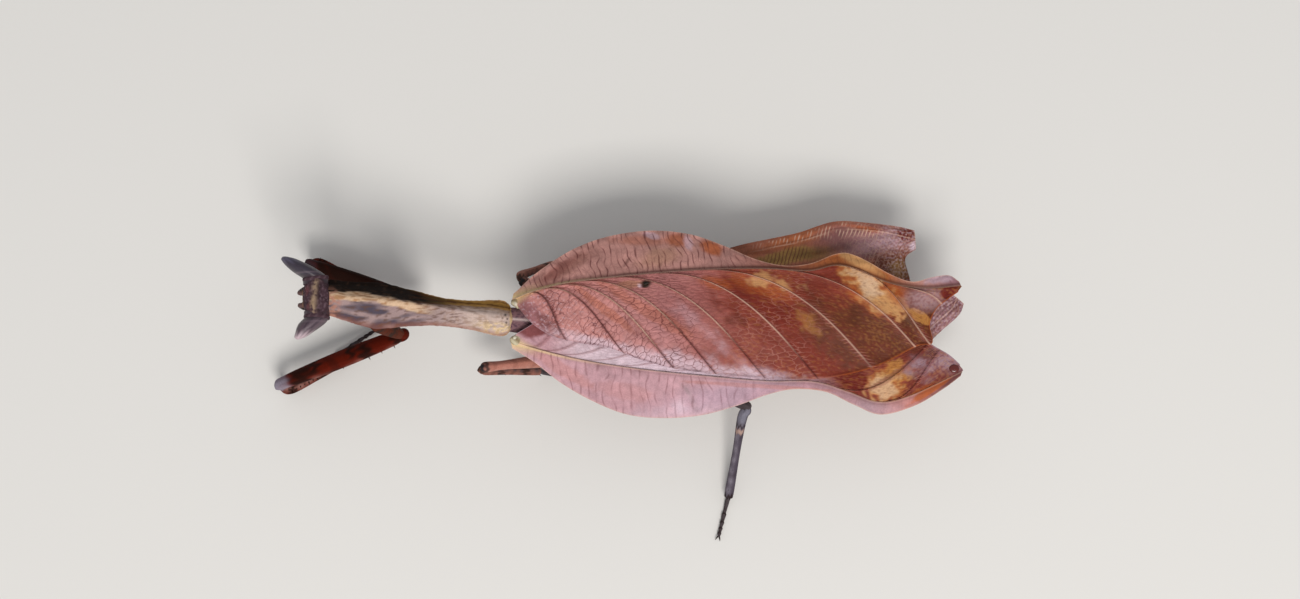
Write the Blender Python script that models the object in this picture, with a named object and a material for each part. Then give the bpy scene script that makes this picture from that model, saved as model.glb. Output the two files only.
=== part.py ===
"""A dead leaf mantis, adult male, life size, standing low with its forelegs stretched ahead.

Millimetres are used throughout and turned into metres when a mesh is made. The body frame has its
zero between the two forewing hinges, on the floor: +X runs towards the wing tips, +Y towards the
animal's right side and +Z up. One empty carries every piece from that frame into the world, whose
origin is the middle of the whole animal on the floor.
"""

import math
import random

import bmesh
import bpy
from mathutils import Vector

MM = 0.001

# Where the forewing hinges lie in the world
HINGE_X = -7.69
AXIS_Y = 3.75

# Gap kept between neighbouring pieces
GAP = 0.3

# Wings
WING_THICKNESS = 0.55
WING_STEP = WING_THICKNESS + GAP + 0.15
MAIN_VEIN_RISE = 0.22
BRANCH_VEIN_RISE = 0.16
VEIN_HALF_WIDTH = 0.26

# Body
PROTHORAX_ROLL = math.radians(10)
HEAD_CENTRE = Vector((-14.95, 0.95, 11.6))
HEAD_YAW = math.radians(4)

# Sides of the rings that make up each kind of piece
TRUNK_SIDES = 14
ABDOMEN_SIDES = 12
HEAD_SIDES = 12
EYE_SIDES = 12
LIMB_SIDES = 8
TIBIA_SIDES = 6
FEELER_SIDES = 6
FORE_FEMUR_SIDES = 10
SPINE_SIDES = 4

SHADING_CREASE = math.radians(35)

COLOURS = {
    "leaf_brown": ((0.36, 0.13, 0.09), 0.5),
    "leaf_shade": ((0.22, 0.09, 0.06), 0.55),
    "bark_tan": ((0.42, 0.30, 0.22), 0.6),
    "bark_grey": ((0.30, 0.24, 0.25), 0.6),
    "leg_red": ((0.23, 0.06, 0.03), 0.4),
    "leg_dark": ((0.10, 0.07, 0.06), 0.5),
    "eye_grey": ((0.24, 0.20, 0.24), 0.35),
}


def clear_scene():
    for thing in list(bpy.data.objects):
        bpy.data.objects.remove(thing, do_unlink=True)


def make_materials():
    made = {}
    for name, (rgb, roughness) in COLOURS.items():
        material = bpy.data.materials.new(name)
        material.use_nodes = True
        shader = material.node_tree.nodes["Principled BSDF"]
        shader.inputs["Base Color"].default_value = (*rgb, 1.0)
        shader.inputs["Roughness"].default_value = roughness
        shader.inputs["Metallic"].default_value = 0.0
        made[name] = material
    return made


def smoothstep(low, high, value):
    share = min(1.0, max(0.0, (value - low) / (high - low)))
    return share * share * (3 - 2 * share)


def through(points, share):
    """The point at this share, 0 to 1, of a smooth curve through the points."""
    points = [Vector(p) for p in points]
    spans = [0.0]
    for a, b in zip(points, points[1:]):
        spans.append(spans[-1] + (b - a).length)
    goal = min(1.0, max(0.0, share)) * spans[-1]
    at = max(i for i in range(len(points) - 1) if spans[i] <= goal + 1e-9)
    t = (goal - spans[at]) / (spans[at + 1] - spans[at])
    p1, p2 = points[at], points[at + 1]
    p0 = points[at - 1] if at > 0 else 2 * p1 - p2
    p3 = points[at + 2] if at + 2 < len(points) else 2 * p2 - p1
    return 0.5 * (
        2 * p1
        + (p2 - p0) * t
        + (2 * p0 - 5 * p1 + 4 * p2 - p3) * t * t
        + (3 * p1 - p0 - 3 * p2 + p3) * t**3
    )


def share_at_x(points, x):
    """The share of the curve at which it passes this x. The curve runs towards +X."""
    low, high = 0.0, 1.0
    for _ in range(30):
        middle = (low + high) / 2
        if through(points, middle).x < x:
            low = middle
        else:
            high = middle
    return (low + high) / 2


def table_value(table, x):
    """A smooth value between the (x, value) pairs of the table."""
    if x <= table[0][0]:
        return table[0][1]
    if x >= table[-1][0]:
        return table[-1][1]
    return through(table, share_at_x(table, x)).y


def add_piece(name, points, faces, material, rig):
    mesh = bpy.data.meshes.new(name)
    mesh.from_pydata([tuple(MM * c for c in p) for p in points], [], faces)
    solid = bmesh.new()
    solid.from_mesh(mesh)
    bmesh.ops.recalc_face_normals(solid, faces=solid.faces)
    solid.to_mesh(mesh)
    solid.free()
    mesh.materials.append(material)
    mesh.shade_smooth()
    mesh.set_sharp_from_angle(angle=SHADING_CREASE)
    piece = bpy.data.objects.new(name, mesh)
    bpy.context.scene.collection.objects.link(piece)
    piece.parent = rig
    return piece


def loft(rings):
    """Points and faces of a closed skin over rings of equal count."""
    count = len(rings[0])
    points = [p for ring in rings for p in ring]
    faces = []
    for i in range(len(rings) - 1):
        for k in range(count):
            here, after = i * count + k, i * count + (k + 1) % count
            faces.append((here, after, after + count, here + count))
    last = (len(rings) - 1) * count
    faces.append(tuple(reversed(range(count))))
    faces.append(tuple(range(last, last + count)))
    return points, faces


def oval_ring(centre, side, up, half_width, half_height, sides, turn=0.0):
    ring = []
    for k in range(sides):
        angle = turn + 2 * math.pi * k / sides
        ring.append(centre + side * (half_width * math.cos(angle)) + up * (half_height * math.sin(angle)))
    return ring


def limb_rings(path, sizes, up, sides, turn=0.0):
    """Rings along a path. sizes holds (half width, half height) for each point of the path."""
    path = [Vector(p) for p in path]
    rings = []
    for i, centre in enumerate(path):
        ahead = (path[min(i + 1, len(path) - 1)] - path[max(i - 1, 0)]).normalized()
        side = ahead.cross(Vector(up)).normalized()
        rings.append(oval_ring(centre, side, side.cross(ahead), *sizes[i], sides, turn))
    return rings


def between(start, end, share):
    return Vector(start).lerp(Vector(end), share)


def straight_limb(start, end, profile, up, sides, turn=0.0, bow=(0, 0, 0)):
    """Rings of a limb from start to end. profile holds (share of the length, half width, half height)."""
    path = []
    for share, _, _ in profile:
        path.append(between(start, end, share) + Vector(bow) * math.sin(math.pi * share))
    return limb_rings(path, [size[1:] for size in profile], up, sides, turn)


def trimmed(start, end, off_start, off_end):
    """The segment from start to end, shortened by these lengths."""
    start, end = Vector(start), Vector(end)
    along = (end - start).normalized()
    return start + along * off_start, end - along * off_end


def stand_on_floor(rings):
    """The rings with what lies under the floor pressed flat on it."""
    return [[Vector((p[0], p[1], max(0.0, p[2]))) for p in ring] for ring in rings]


# The leaf surface that all four wings follow

LEAF_HEIGHT = [(-1.0, 8.5), (0, 8.6), (3, 8.65), (9, 8.75), (15, 8.65), (21, 8.3), (27, 7.6), (35, 6.5)]
RIDGE_SIDE = [
    (-1.0, 1.5), (0, 1.6), (3.3, 2.6), (7.1, 3.2), (13.0, 3.85), (18.3, 4.15), (23.0, 4.3), (27.0, 4.9),
    (35, 4.9),
]
CROWN = 0.3
COSTAL_FALL = 0.48
COSTAL_CURL = 0.035
HIND_FALL_UNTIL = 1.5
HIND_FALL_BEYOND = 0.1


def leaf_z(x, y, level):
    """Height of a wing's upper face. Level 1 is the upper forewing, 0 the lower one, -1 a hindwing."""
    ridge = table_value(RIDGE_SIDE, x)
    beyond = max(0.0, abs(y) - ridge)
    crown = CROWN * (1 - min(1.0, abs(y) / ridge) ** 2) * smoothstep(0.0, 4.0, x)
    steep = min(beyond, HIND_FALL_UNTIL) if level < 0 else beyond
    fall = COSTAL_FALL * steep + COSTAL_CURL * steep**2 + HIND_FALL_BEYOND * (beyond - steep)
    lift = level * WING_STEP * smoothstep(-0.2, 1.2, x)
    return table_value(LEAF_HEIGHT, x) + crown - fall + lift


def plate(grid, level, rises=None, thickness=WING_THICKNESS):
    """Points and faces of a thin closed plate over a grid of (x, y), its two faces split alike."""
    rows, columns = len(grid), len(grid[0])
    top = []
    bottom = []
    for i in range(rows):
        for j in range(columns):
            x, y = grid[i][j]
            z = leaf_z(x, y, level)
            top.append((x, y, z + (rises[i][j] if rises else 0.0)))
            bottom.append((x, y, z - thickness))
    points = top + bottom
    under = rows * columns
    faces = []
    for i in range(rows - 1):
        for j in range(columns - 1):
            a = i * columns + j
            b, c, d = a + 1, a + columns + 1, a + columns
            for face in ((a, b, c), (a, c, d)):
                faces.append(face)
                faces.append(tuple(under + k for k in reversed(face)))
    rim = list(range(columns))
    rim += [i * columns + columns - 1 for i in range(1, rows)]
    rim += [(rows - 1) * columns + j for j in range(columns - 2, -1, -1)]
    rim += [i * columns for i in range(rows - 2, 0, -1)]
    for k, a in enumerate(rim):
        b = rim[(k + 1) % len(rim)]
        faces.append((a, b, under + b))
        faces.append((a, under + b, under + a))
    return points, faces


# Forewings. Each has three rails from hinge to tip: the front margin, the radius vein that looks like
# a leaf's midrib, and the rear margin. Branch veins leave the radius and sweep to the rear margin.

RIGHT_FRONT = [
    (-0.25, 2.0), (2.0, 4.0), (4.3, 5.6), (6.9, 6.65), (10.0, 7.15), (13.0, 6.9), (15.6, 6.0),
    (18.0, 4.95), (20.2, 4.5), (22.2, 4.75), (24.2, 5.6), (25.6, 5.5), (28.3, 4.1), (30.0, 3.6),
    (31.5, 4.0), (32.8, 4.2), (33.6, 3.75),
]
RIGHT_RADIUS = [
    (-0.35, 1.5), (3.3, 2.6), (7.1, 3.2), (13.0, 3.85), (18.3, 4.15), (22.0, 4.1), (24.6, 4.6),
    (28.2, 3.4), (31.0, 3.1), (33.75, 3.4),
]
RIGHT_REAR = [
    (0.1, 0.95), (1.3, -0.35), (2.9, -1.3), (4.6, -1.7), (7.2, -2.1), (9.9, -3.0), (13.2, -3.65),
    (18.9, -4.05), (23.1, -3.95), (27.1, -3.0), (30.4, -1.3), (31.6, -1.0), (31.4, 0.4),
    (31.9, 1.6), (32.8, 2.4), (33.6, 3.0),
]
LEFT_FRONT = [
    (-0.25, -2.15), (1.5, -3.2), (3.4, -4.6), (5.7, -5.85), (8.4, -6.85), (11.1, -7.1), (14.1, -6.85),
    (16.8, -6.1), (19.2, -5.2), (21.2, -4.75), (23.6, -4.9), (25.8, -5.8), (27.9, -6.45),
    (30.5, -5.7), (32.6, -4.4), (33.9, -3.4),
]
LEFT_RADIUS = [
    (-0.35, -1.65), (3.4, -2.6), (6.4, -3.15), (10.2, -3.6), (14.0, -3.9), (18.9, -4.2), (22.6, -4.15),
    (25.2, -4.8), (27.6, -5.5), (30.0, -5.0), (34.05, -3.0),
]
LEFT_REAR = [
    (0.1, -1.05), (1.3, -0.3), (2.6, 0.5), (4.6, 1.3), (8.0, 2.2), (13.0, 3.0), (19.0, 3.2),
    (24.0, 2.5), (28.0, 1.0), (30.4, -0.3), (31.8, -1.15), (33.0, -1.8), (33.85, -2.5),
]
# Where each branch vein leaves the radius and where it meets the rear margin, as x
BRANCH_VEINS = [
    (0.9, 3.9), (1.7, 8.2), (2.6, 12.0), (4.4, 15.2), (7.0, 18.9), (10.2, 22.9), (14.2, 27.0),
    (20.2, 30.3), (24.4, 31.45), (28.0, 32.3),
]
VEIN_LEAVE = 0.40
VEIN_ARRIVE = 0.33
VEIN_ANGLE = math.radians(47)
LEFT_BARE_FROM = 30.5
MARGIN_STEPS = 400
COSTAL_ROWS = (0.0, 0.5)
BRANCH_ROWS = (0.14, 0.28, 0.42, 0.57, 0.72, 0.86, 1.0)


def rear_share_at_x(rear, x):
    """The first share of the rear margin that reaches this x. The margin steps back at the tip's notch."""
    for k in range(MARGIN_STEPS + 1):
        if through(rear, k / MARGIN_STEPS).x >= x:
            return k / MARGIN_STEPS
    return 1.0


def branch_point(start, end, heading, side, t):
    """A point on a branch vein, which leaves along the radius and turns down to the rear margin."""
    reach = (end - start).length
    leave = start + heading * (VEIN_LEAVE * reach)
    arrive_way = Vector((math.cos(VEIN_ANGLE), -side * math.sin(VEIN_ANGLE)))
    arrive = end - arrive_way * (VEIN_ARRIVE * reach)
    s = 1 - t
    return start * s**3 + leave * (3 * s * s * t) + arrive * (3 * s * t * t) + end * t**3


def wing_columns(radius, rear):
    """(share of the radius, share of the rear margin, is it on a vein) for each column of the grid."""
    columns = [(0.0, 0.0, False)]
    radius_length = sum((Vector(b) - Vector(a)).length for a, b in zip(radius, radius[1:]))
    rear_length = sum((Vector(b) - Vector(a)).length for a, b in zip(rear, rear[1:]))
    half = (VEIN_HALF_WIDTH / radius_length, VEIN_HALF_WIDTH / rear_length)
    for leaves, meets in BRANCH_VEINS:
        on_radius, on_rear = share_at_x(radius, leaves), rear_share_at_x(rear, meets)
        before = columns[-1]
        if on_rear - before[1] > 5 * half[1]:
            columns.append(((before[0] + on_radius) / 2, (before[1] + on_rear) / 2, False))
        columns.append((on_radius - half[0], on_rear - half[1], False))
        columns.append((on_radius, on_rear, True))
        columns.append((on_radius + half[0], on_rear + half[1], False))
    last = columns[-1]
    columns.append(((last[0] + 1) / 2, (last[1] + 1) / 2, False))
    columns.append((1.0, 1.0, False))
    return columns


def forewing(front, radius, rear, side, level, raised_from):
    """Points and faces of a forewing. side is 1 for the right wing and -1 for the left one.

    Branch veins are raised where they meet the rear margin beyond raised_from, as x."""
    columns = wing_columns(radius, rear)
    rows = []
    for on_radius, on_rear, on_vein in columns:
        root = through(radius, on_radius).to_2d()
        ahead = through(radius, min(1.0, on_radius + 0.01)) - through(radius, max(0.0, on_radius - 0.01))
        heading = ahead.to_2d().normalized()
        margin = through(front, share_at_x(front, root.x)).to_2d() if on_radius < 1 else Vector(front[-1])
        if on_radius == 0:
            margin = Vector(front[0])
        end = through(rear, on_rear).to_2d()
        line = [(margin.lerp(root, t), 0.0) for t in COSTAL_ROWS]
        near = min(0.45, VEIN_HALF_WIDTH / max(0.05, (root - margin).length))
        line.append((root.lerp(margin, near), 0.0))
        line.append((root, MAIN_VEIN_RISE))
        near = min(0.06, VEIN_HALF_WIDTH / max(0.05, (end - root).length))
        line.append((branch_point(root, end, heading, side, near), 0.0))
        for t in BRANCH_ROWS:
            rise = BRANCH_VEIN_RISE if on_vein and end.x > raised_from else 0.0
            line.append((branch_point(root, end, heading, side, t), rise))
        rows.append(line)
    grid = [[tuple(point) for point, _ in line] for line in rows]
    rises = [[rise for _, rise in line] for line in rows]
    return plate(grid, level, rises)


# Hindwings, folded under the forewings: a front rail and an inner rail from root to tip

RIGHT_HIND_FRONT = [
    (4.6, 2.3), (8.0, 3.4), (12.0, 4.7), (16.5, 6.2), (19.2, 6.9), (21.5, 7.5), (24.2, 8.45),
    (26.9, 8.45), (29.2, 8.25), (30.5, 8.0),
]
RIGHT_HIND_INNER = [
    (4.3, 1.3), (8.0, 0.4), (14.0, 0.25), (20.0, 0.25), (26.0, 0.3), (28.6, 0.5), (29.9, 1.6),
    (30.1, 3.6), (29.7, 5.6), (30.6, 6.5),
]
LEFT_HIND_FRONT = [
    (4.6, -2.3), (8.0, -3.0), (14.0, -3.8), (20.0, -4.0), (26.0, -3.7), (30.0, -2.2), (32.4, 0.0),
    (33.9, 1.4), (34.3, 2.3),
]
LEFT_HIND_INNER = [
    (4.3, -1.3), (8.0, -0.4), (14.0, -0.2), (20.0, -0.2), (27.0, -0.2), (29.5, 0.0), (30.7, 1.2),
    (31.8, 2.6), (33.2, 3.1),
]
HIND_COLUMNS = 20
HIND_ROWS = 8
HIND_VEIN_ROWS = (1, 2)
RIGHT_HIND_BARE = (21.0, 24.0)
LEFT_HIND_BARE = (31.3, 32.4)


def hindwing(front, inner, bare):
    """A folded hindwing. Its veins rise where it shows from under the forewings, over the x range bare."""
    grid = []
    rises = []
    for j in range(HIND_COLUMNS + 1):
        share = j / HIND_COLUMNS
        outer, inside = through(front, share).to_2d(), through(inner, share).to_2d()
        grid.append([tuple(outer.lerp(inside, i / HIND_ROWS)) for i in range(HIND_ROWS + 1)])
        rises.append([0.0] * (HIND_ROWS + 1))
        for i in HIND_VEIN_ROWS:
            rises[-1][i] = BRANCH_VEIN_RISE * smoothstep(*bare, grid[-1][i][0])
    return plate(grid, -1, rises)


# Trunk

# Prothorax: (x, middle y, half width, ridge height, height of the side edges, belly height)
PROTHORAX = [
    (-13.6, 0.82, 0.55, 12.2, 11.6, 10.9),
    (-13.2, 0.78, 1.15, 12.7, 11.6, 10.5),
    (-12.4, 0.72, 1.40, 12.6, 11.3, 9.9),
    (-10.6, 0.62, 1.72, 12.2, 10.6, 9.2),
    (-9.6, 0.60, 1.68, 11.9, 10.3, 9.0),
    (-7.8, 0.55, 1.38, 11.3, 9.9, 8.7),
    (-5.6, 0.38, 1.08, 10.6, 9.4, 8.2),
    (-3.4, 0.22, 1.10, 9.9, 8.9, 7.7),
    (-1.6, 0.12, 1.32, 9.5, 8.4, 7.2),
    (-0.8, 0.08, 1.22, 9.2, 8.2, 7.0),
    (-0.45, 0.07, 0.95, 8.95, 8.15, 7.15),
    (-0.3, 0.06, 0.60, 8.65, 8.1, 7.4),
]
# Round the section: (share of the half width, share from side edge to ridge or belly, its sign up or down)
PROTHORAX_SECTION = [
    (0.0, 1.0), (0.16, 0.93), (0.5, 0.52), (0.85, 0.16), (1.0, 0.0), (0.86, -0.22), (0.6, -0.78),
    (0.0, -1.0),
]


def prothorax():
    """Keeled back plate over a rounded belly, rolled a little to the animal's right."""
    half = PROTHORAX_SECTION
    outline = half + [(-w, h) for w, h in reversed(half[1:-1])]
    rings = []
    for x, middle, width, ridge, edge, belly in PROTHORAX:
        ring = []
        for w, h in outline:
            y = w * width
            z = h * (ridge - edge) if h > 0 else h * (edge - belly)
            roll = PROTHORAX_ROLL * smoothstep(-0.5, -6.0, x) if x < -0.5 else 0.0
            turned_y = y * math.cos(roll) + z * math.sin(roll)
            turned_z = z * math.cos(roll) - y * math.sin(roll)
            ring.append(Vector((x, middle + turned_y, edge + turned_z)))
        rings.append(ring)
    return loft(rings)


# Meso- and metathorax: (x, half width, top, bottom)
THORAX = [
    (0.0, 0.85, 8.15, 6.4),
    (0.7, 1.55, 8.05, 5.2),
    (1.6, 1.95, 7.65, 4.4),
    (3.2, 2.05, 7.2, 3.9),
    (5.2, 2.05, 7.2, 3.7),
    (6.8, 1.95, 7.2, 3.8),
    (8.0, 1.70, 7.0, 4.2),
    (8.6, 1.30, 6.7, 4.7),
]
# Knobs that carry the forewings: foot and top as x and distance from the middle, and their size
HINGE_FOOT = (0.9, 1.1)
HINGE_FOOT_HEIGHT = 6.3
HINGE_TOP = (0.55, 1.55)
HINGE_CLEAR = 0.5
HINGE_PROFILE = [(0.0, 0.7, 0.7), (0.6, 0.75, 0.75), (0.88, 0.62, 0.62), (1.0, 0.35, 0.35)]


def trunk_rings(table, sides):
    """Oval rings along X. The table holds (x, half width, top, bottom)."""
    forward, up = Vector((0, 1, 0)), Vector((0, 0, 1))
    half_turn = math.pi / sides
    rings = []
    for x, width, top, bottom in table:
        centre = Vector((x, 0, (top + bottom) / 2))
        rings.append(oval_ring(centre, forward, up, width, (top - bottom) / 2, sides, half_turn))
    return rings


def hinge_pad(side):
    """The knob under a forewing's root, up to a gap below the wing."""
    x, out = HINGE_TOP
    wing_under = leaf_z(x, side * out, max(side, 0)) - WING_THICKNESS
    foot = Vector((HINGE_FOOT[0], side * HINGE_FOOT[1], HINGE_FOOT_HEIGHT))
    top = Vector((x, side * out, wing_under - HINGE_CLEAR))
    return loft(straight_limb(foot, top, HINGE_PROFILE, (1, 0, 0), LIMB_SIDES))


# Abdomen: length and size of its rings, from the thorax to the tip
ABDOMEN_START = 8.95
ABDOMEN_END = 26.6
ABDOMEN_SEGMENTS = 8
ABDOMEN_WIDTH = [(0.0, 1.45), (0.25, 2.0), (0.55, 2.1), (0.8, 1.6), (1.0, 0.8)]
ABDOMEN_TOP = [(0.0, 6.7), (0.25, 6.9), (0.55, 6.6), (0.8, 6.05), (1.0, 5.4)]
ABDOMEN_BOTTOM = [(0.0, 4.7), (0.25, 4.0), (0.55, 3.7), (0.8, 3.9), (1.0, 4.4)]
SEGMENT_STEP = 0.16
ABDOMEN_LAST_RING = (ABDOMEN_END, 0.55, 5.3, 4.5)
CERCUS_ENDS = ((26.95, 0.55, 4.9), (29.0, 1.35, 4.6))
CERCUS_PROFILE = [(0.0, 0.28, 0.28), (0.35, 0.36, 0.32), (0.75, 0.30, 0.26), (1.0, 0.12, 0.12)]


def abdomen():
    """Segments that each start narrow and end in a slightly wider rim."""
    table = []
    for n in range(ABDOMEN_SEGMENTS):
        for part, size in ((0.0, -SEGMENT_STEP), (0.25, 0.0), (0.9, SEGMENT_STEP / 2)):
            share = (n + part) / ABDOMEN_SEGMENTS
            x = ABDOMEN_START + share * (ABDOMEN_END - ABDOMEN_START)
            width = table_value(ABDOMEN_WIDTH, share) + size
            top = table_value(ABDOMEN_TOP, share) + size / 2
            table.append((x, width, top, table_value(ABDOMEN_BOTTOM, share) - size))
    table.append(ABDOMEN_LAST_RING)
    return loft(trunk_rings(table, ABDOMEN_SIDES))


def cercus(side):
    start, end = (Vector((x, side * out, z)) for x, out, z in CERCUS_ENDS)
    return loft(straight_limb(start, end, CERCUS_PROFILE, (0, 0, 1), FEELER_SIDES))


# Head: seen from the front a triangle with an eye at each upper corner.
# (height over the centre, half width, half depth, forward shift)
HEAD = [
    (-2.75, 0.34, 0.30, 0.75),
    (-2.2, 0.62, 0.55, 0.70),
    (-1.5, 0.85, 0.80, 0.50),
    (-0.6, 1.15, 0.98, 0.25),
    (0.3, 1.40, 1.08, 0.08),
    (1.0, 1.45, 1.02, 0.0),
    (1.45, 1.30, 0.80, -0.05),
    (1.75, 0.85, 0.42, -0.10),
]


def head_frame(forward, side, up):
    """A point of the head's own frame in the body frame. forward is towards -X before the yaw."""
    c, s = math.cos(HEAD_YAW), math.sin(HEAD_YAW)
    return HEAD_CENTRE + Vector((-forward * c + side * s, -forward * s - side * c, up))


def head():
    rings = []
    for up, width, depth, forward in HEAD:
        ring = []
        for k in range(HEAD_SIDES):
            angle = 2 * math.pi * (k + 0.5) / HEAD_SIDES
            ring.append(head_frame(forward + depth * math.cos(angle), width * math.sin(angle), up))
        rings.append(ring)
    return loft(rings)


# (share of the way from the head to the eye's point, half depth, half height)
EYE = [
    (0.0, 0.90, 1.06), (0.12, 0.93, 1.10), (0.25, 0.91, 1.08), (0.45, 0.80, 0.94), (0.65, 0.60, 0.66),
    (0.85, 0.34, 0.38), (1.0, 0.12, 0.14),
]
EYE_BASE = (0.05, 1.74, 0.45)
EYE_TIP = (1.55, 3.25, 1.15)


def eye(side):
    """A cone with a rounded end, set flat against the head's upper corner."""
    rings = []
    for share, depth, height in EYE:
        forward, out, up = (a + (b - a) * share for a, b in zip(EYE_BASE, EYE_TIP))
        ring = []
        for k in range(EYE_SIDES):
            angle = 2 * math.pi * k / EYE_SIDES
            level = up + height * math.sin(angle)
            ring.append(head_frame(forward + depth * math.cos(angle), side * out, level))
        rings.append(ring)
    return loft(rings)


# Feelers: the root in the head's frame and the route from it, as lengths ahead, outwards and up
ANTENNA_ROOT = (1.7, 0.45, 0.15)
ANTENNA = [
    (0.0, 0.0, 0.0), (0.2, 0.06, -0.35), (0.3, 0.22, -1.2), (0.1, 0.42, -2.5), (-0.75, 0.5, -4.1),
    (-2.3, 0.5, -5.6), (-4.3, 0.4, -6.8),
]
ANTENNA_RINGS = 12
ANTENNA_RADIUS = (0.27, 0.16)


def antenna(side):
    """A feeler that hangs from the face and curves back under the head."""
    forward, out, up = ANTENNA_ROOT
    root = head_frame(forward, side * out, up)
    path = []
    sizes = []
    for k in range(ANTENNA_RINGS + 1):
        share = k / ANTENNA_RINGS
        ahead, out, up = through(ANTENNA, share)
        path.append(root + Vector((-ahead, -side * out, up)))
        radius = ANTENNA_RADIUS[0] + (ANTENNA_RADIUS[1] - ANTENNA_RADIUS[0]) * share
        sizes.append((radius, radius))
    return loft(limb_rings(path, sizes, (0, 1, 0), FEELER_SIDES))


# Turn of a limb's rings that puts one of their flat sides down
SOLE_TURN = math.pi / LIMB_SIDES

# Legs. Each walking leg is given by its coxa's root, its trochanter, knee, ankle and toe.

WALKING_LEGS = {
    "mid_left": {
        "root": (3.5, -1.3, 3.75), "hip": (2.6, -2.55, 2.85), "knee": (-2.7, -3.45, 5.2),
        "ankle": (1.5, -3.3, 0.75), "toe": (4.5, -4.0, 0.22),
    },
    "mid_right": {
        "root": (5.3, 1.3, 3.5), "hip": (4.0, 2.35, 2.8), "knee": (0.2, 3.15, 6.5),
        "ankle": (2.4, 5.2, 0.75), "toe": (5.3, 6.2, 0.22),
    },
    "hind_left": {
        "root": (7.2, -1.2, 3.75), "hip": (8.1, -2.1, 2.95), "knee": (18.0, -5.95, 4.1),
        "ankle": (16.6, -12.9, 0.75), "toe": (15.9, -16.0, 0.22),
    },
    "hind_right": {
        "root": (7.2, 1.2, 3.75), "hip": (8.3, 2.1, 2.95), "knee": (17.2, 4.3, 4.3),
        "ankle": (24.4, 6.9, 0.75), "toe": (27.5, 7.5, 0.22),
    },
}
FEMUR = [
    (0.0, 0.30, 0.32), (0.08, 0.50, 0.55), (0.3, 0.48, 0.58), (0.7, 0.36, 0.42), (0.93, 0.42, 0.48),
    (1.0, 0.28, 0.30),
]
TIBIA = [
    (0.0, 0.24, 0.26), (0.06, 0.34, 0.38), (0.5, 0.29, 0.31), (0.94, 0.31, 0.33), (1.0, 0.22, 0.24),
]
TARSUS = [
    (0.0, 0.22, 0.20), (0.1, 0.27, 0.27), (0.42, 0.24, 0.25), (0.5, 0.29, 0.27), (0.9, 0.24, 0.24),
    (1.0, 0.16, 0.20),
]
COXA = [(0.0, 0.5, 0.55), (0.5, 0.62, 0.62), (1.0, 0.36, 0.36)]
COXA_TRIM = (0.05, 0.4)
FEMUR_TRIM = 0.36
FEMUR_BOW = (0, 0, 0.15)
KNEE_DROP = 0.92
KNEE_BACK = 0.35
TOE_ROOT_CLEAR = 0.24
TOE_ROOT_HEIGHT = 0.25


def walking_leg(points):
    """The coxa, femur, tibia and tarsus of a walking leg, as points and faces."""
    root, hip, knee, ankle, toe = (points[k] for k in ("root", "hip", "knee", "ankle", "toe"))
    up = (0, 0, 1)
    coxa = straight_limb(*trimmed(root, hip, *COXA_TRIM), COXA, up, LIMB_SIDES)
    femur = straight_limb(*trimmed(hip, knee, FEMUR_TRIM, 0.0), FEMUR, up, LIMB_SIDES, bow=FEMUR_BOW)
    down = (Vector(ankle) - Vector(knee)).normalized()
    thigh = (Vector(knee) - Vector(hip)).normalized()
    away = (down - thigh * down.dot(thigh)).normalized()
    tibia_start = Vector(knee) + away * KNEE_DROP - thigh * KNEE_BACK
    tibia = straight_limb(tibia_start, ankle, TIBIA, up, TIBIA_SIDES)
    toe_start = trimmed(ankle, toe, TOE_ROOT_CLEAR, 0.0)[0]
    toe_start.z = TOE_ROOT_HEIGHT
    tarsus = stand_on_floor(straight_limb(toe_start, toe, TARSUS, up, LIMB_SIDES, turn=SOLE_TURN))
    return {"coxa": loft(coxa), "femur": loft(femur), "tibia": loft(tibia), "tarsus": loft(tarsus)}


# Forelegs, stretched ahead along the floor with the shin folded under the thigh
FORELEGS = {
    "left": {
        "side": -1, "root": (-10.6, -0.45, 9.02), "hip": (-9.2, -0.85, 2.75), "knee": (-18.8, -4.95, 2.3),
    },
    "right": {
        "side": 1, "root": (-10.4, 1.6, 8.78), "hip": (-7.8, 1.45, 2.75), "knee": (-17.2, 5.0, 2.15),
    },
}
FORE_COXA = [
    (0.0, 0.42, 0.50), (0.15, 0.62, 0.72), (0.5, 0.50, 0.62), (0.85, 0.48, 0.55), (1.0, 0.32, 0.36),
]
FORE_FEMUR = [
    (0.0, 0.30, 0.38), (0.06, 0.52, 0.72), (0.25, 0.62, 1.02), (0.5, 0.66, 1.0), (0.75, 0.58, 0.82),
    (0.93, 0.48, 0.62), (1.0, 0.28, 0.34),
]
FORE_TIBIA = [
    (0.0, 0.28, 0.26), (0.1, 0.36, 0.34), (0.5, 0.33, 0.32), (0.8, 0.27, 0.27), (1.0, 0.10, 0.10),
]
FORE_COXA_TRIM = 1.05
FORE_FEMUR_TRIM = 0.1
FEMUR_LEAN = 0.5
FORE_TIBIA_LENGTH = 5.8
TIBIA_OUT = 0.55
TIBIA_BACK = 0.1
TIBIA_TURN_IN = 0.6
TIBIA_HEIGHTS = (0.62, 0.36)
FORE_TOE_BACK = 4.4
FORE_TOE_IN = 1.3
FORE_TOE_LENGTH = 3.2
FORE_TOE_TURN_IN = 0.8
FORE_TOE_HEIGHTS = (0.25, 0.22)

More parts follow.
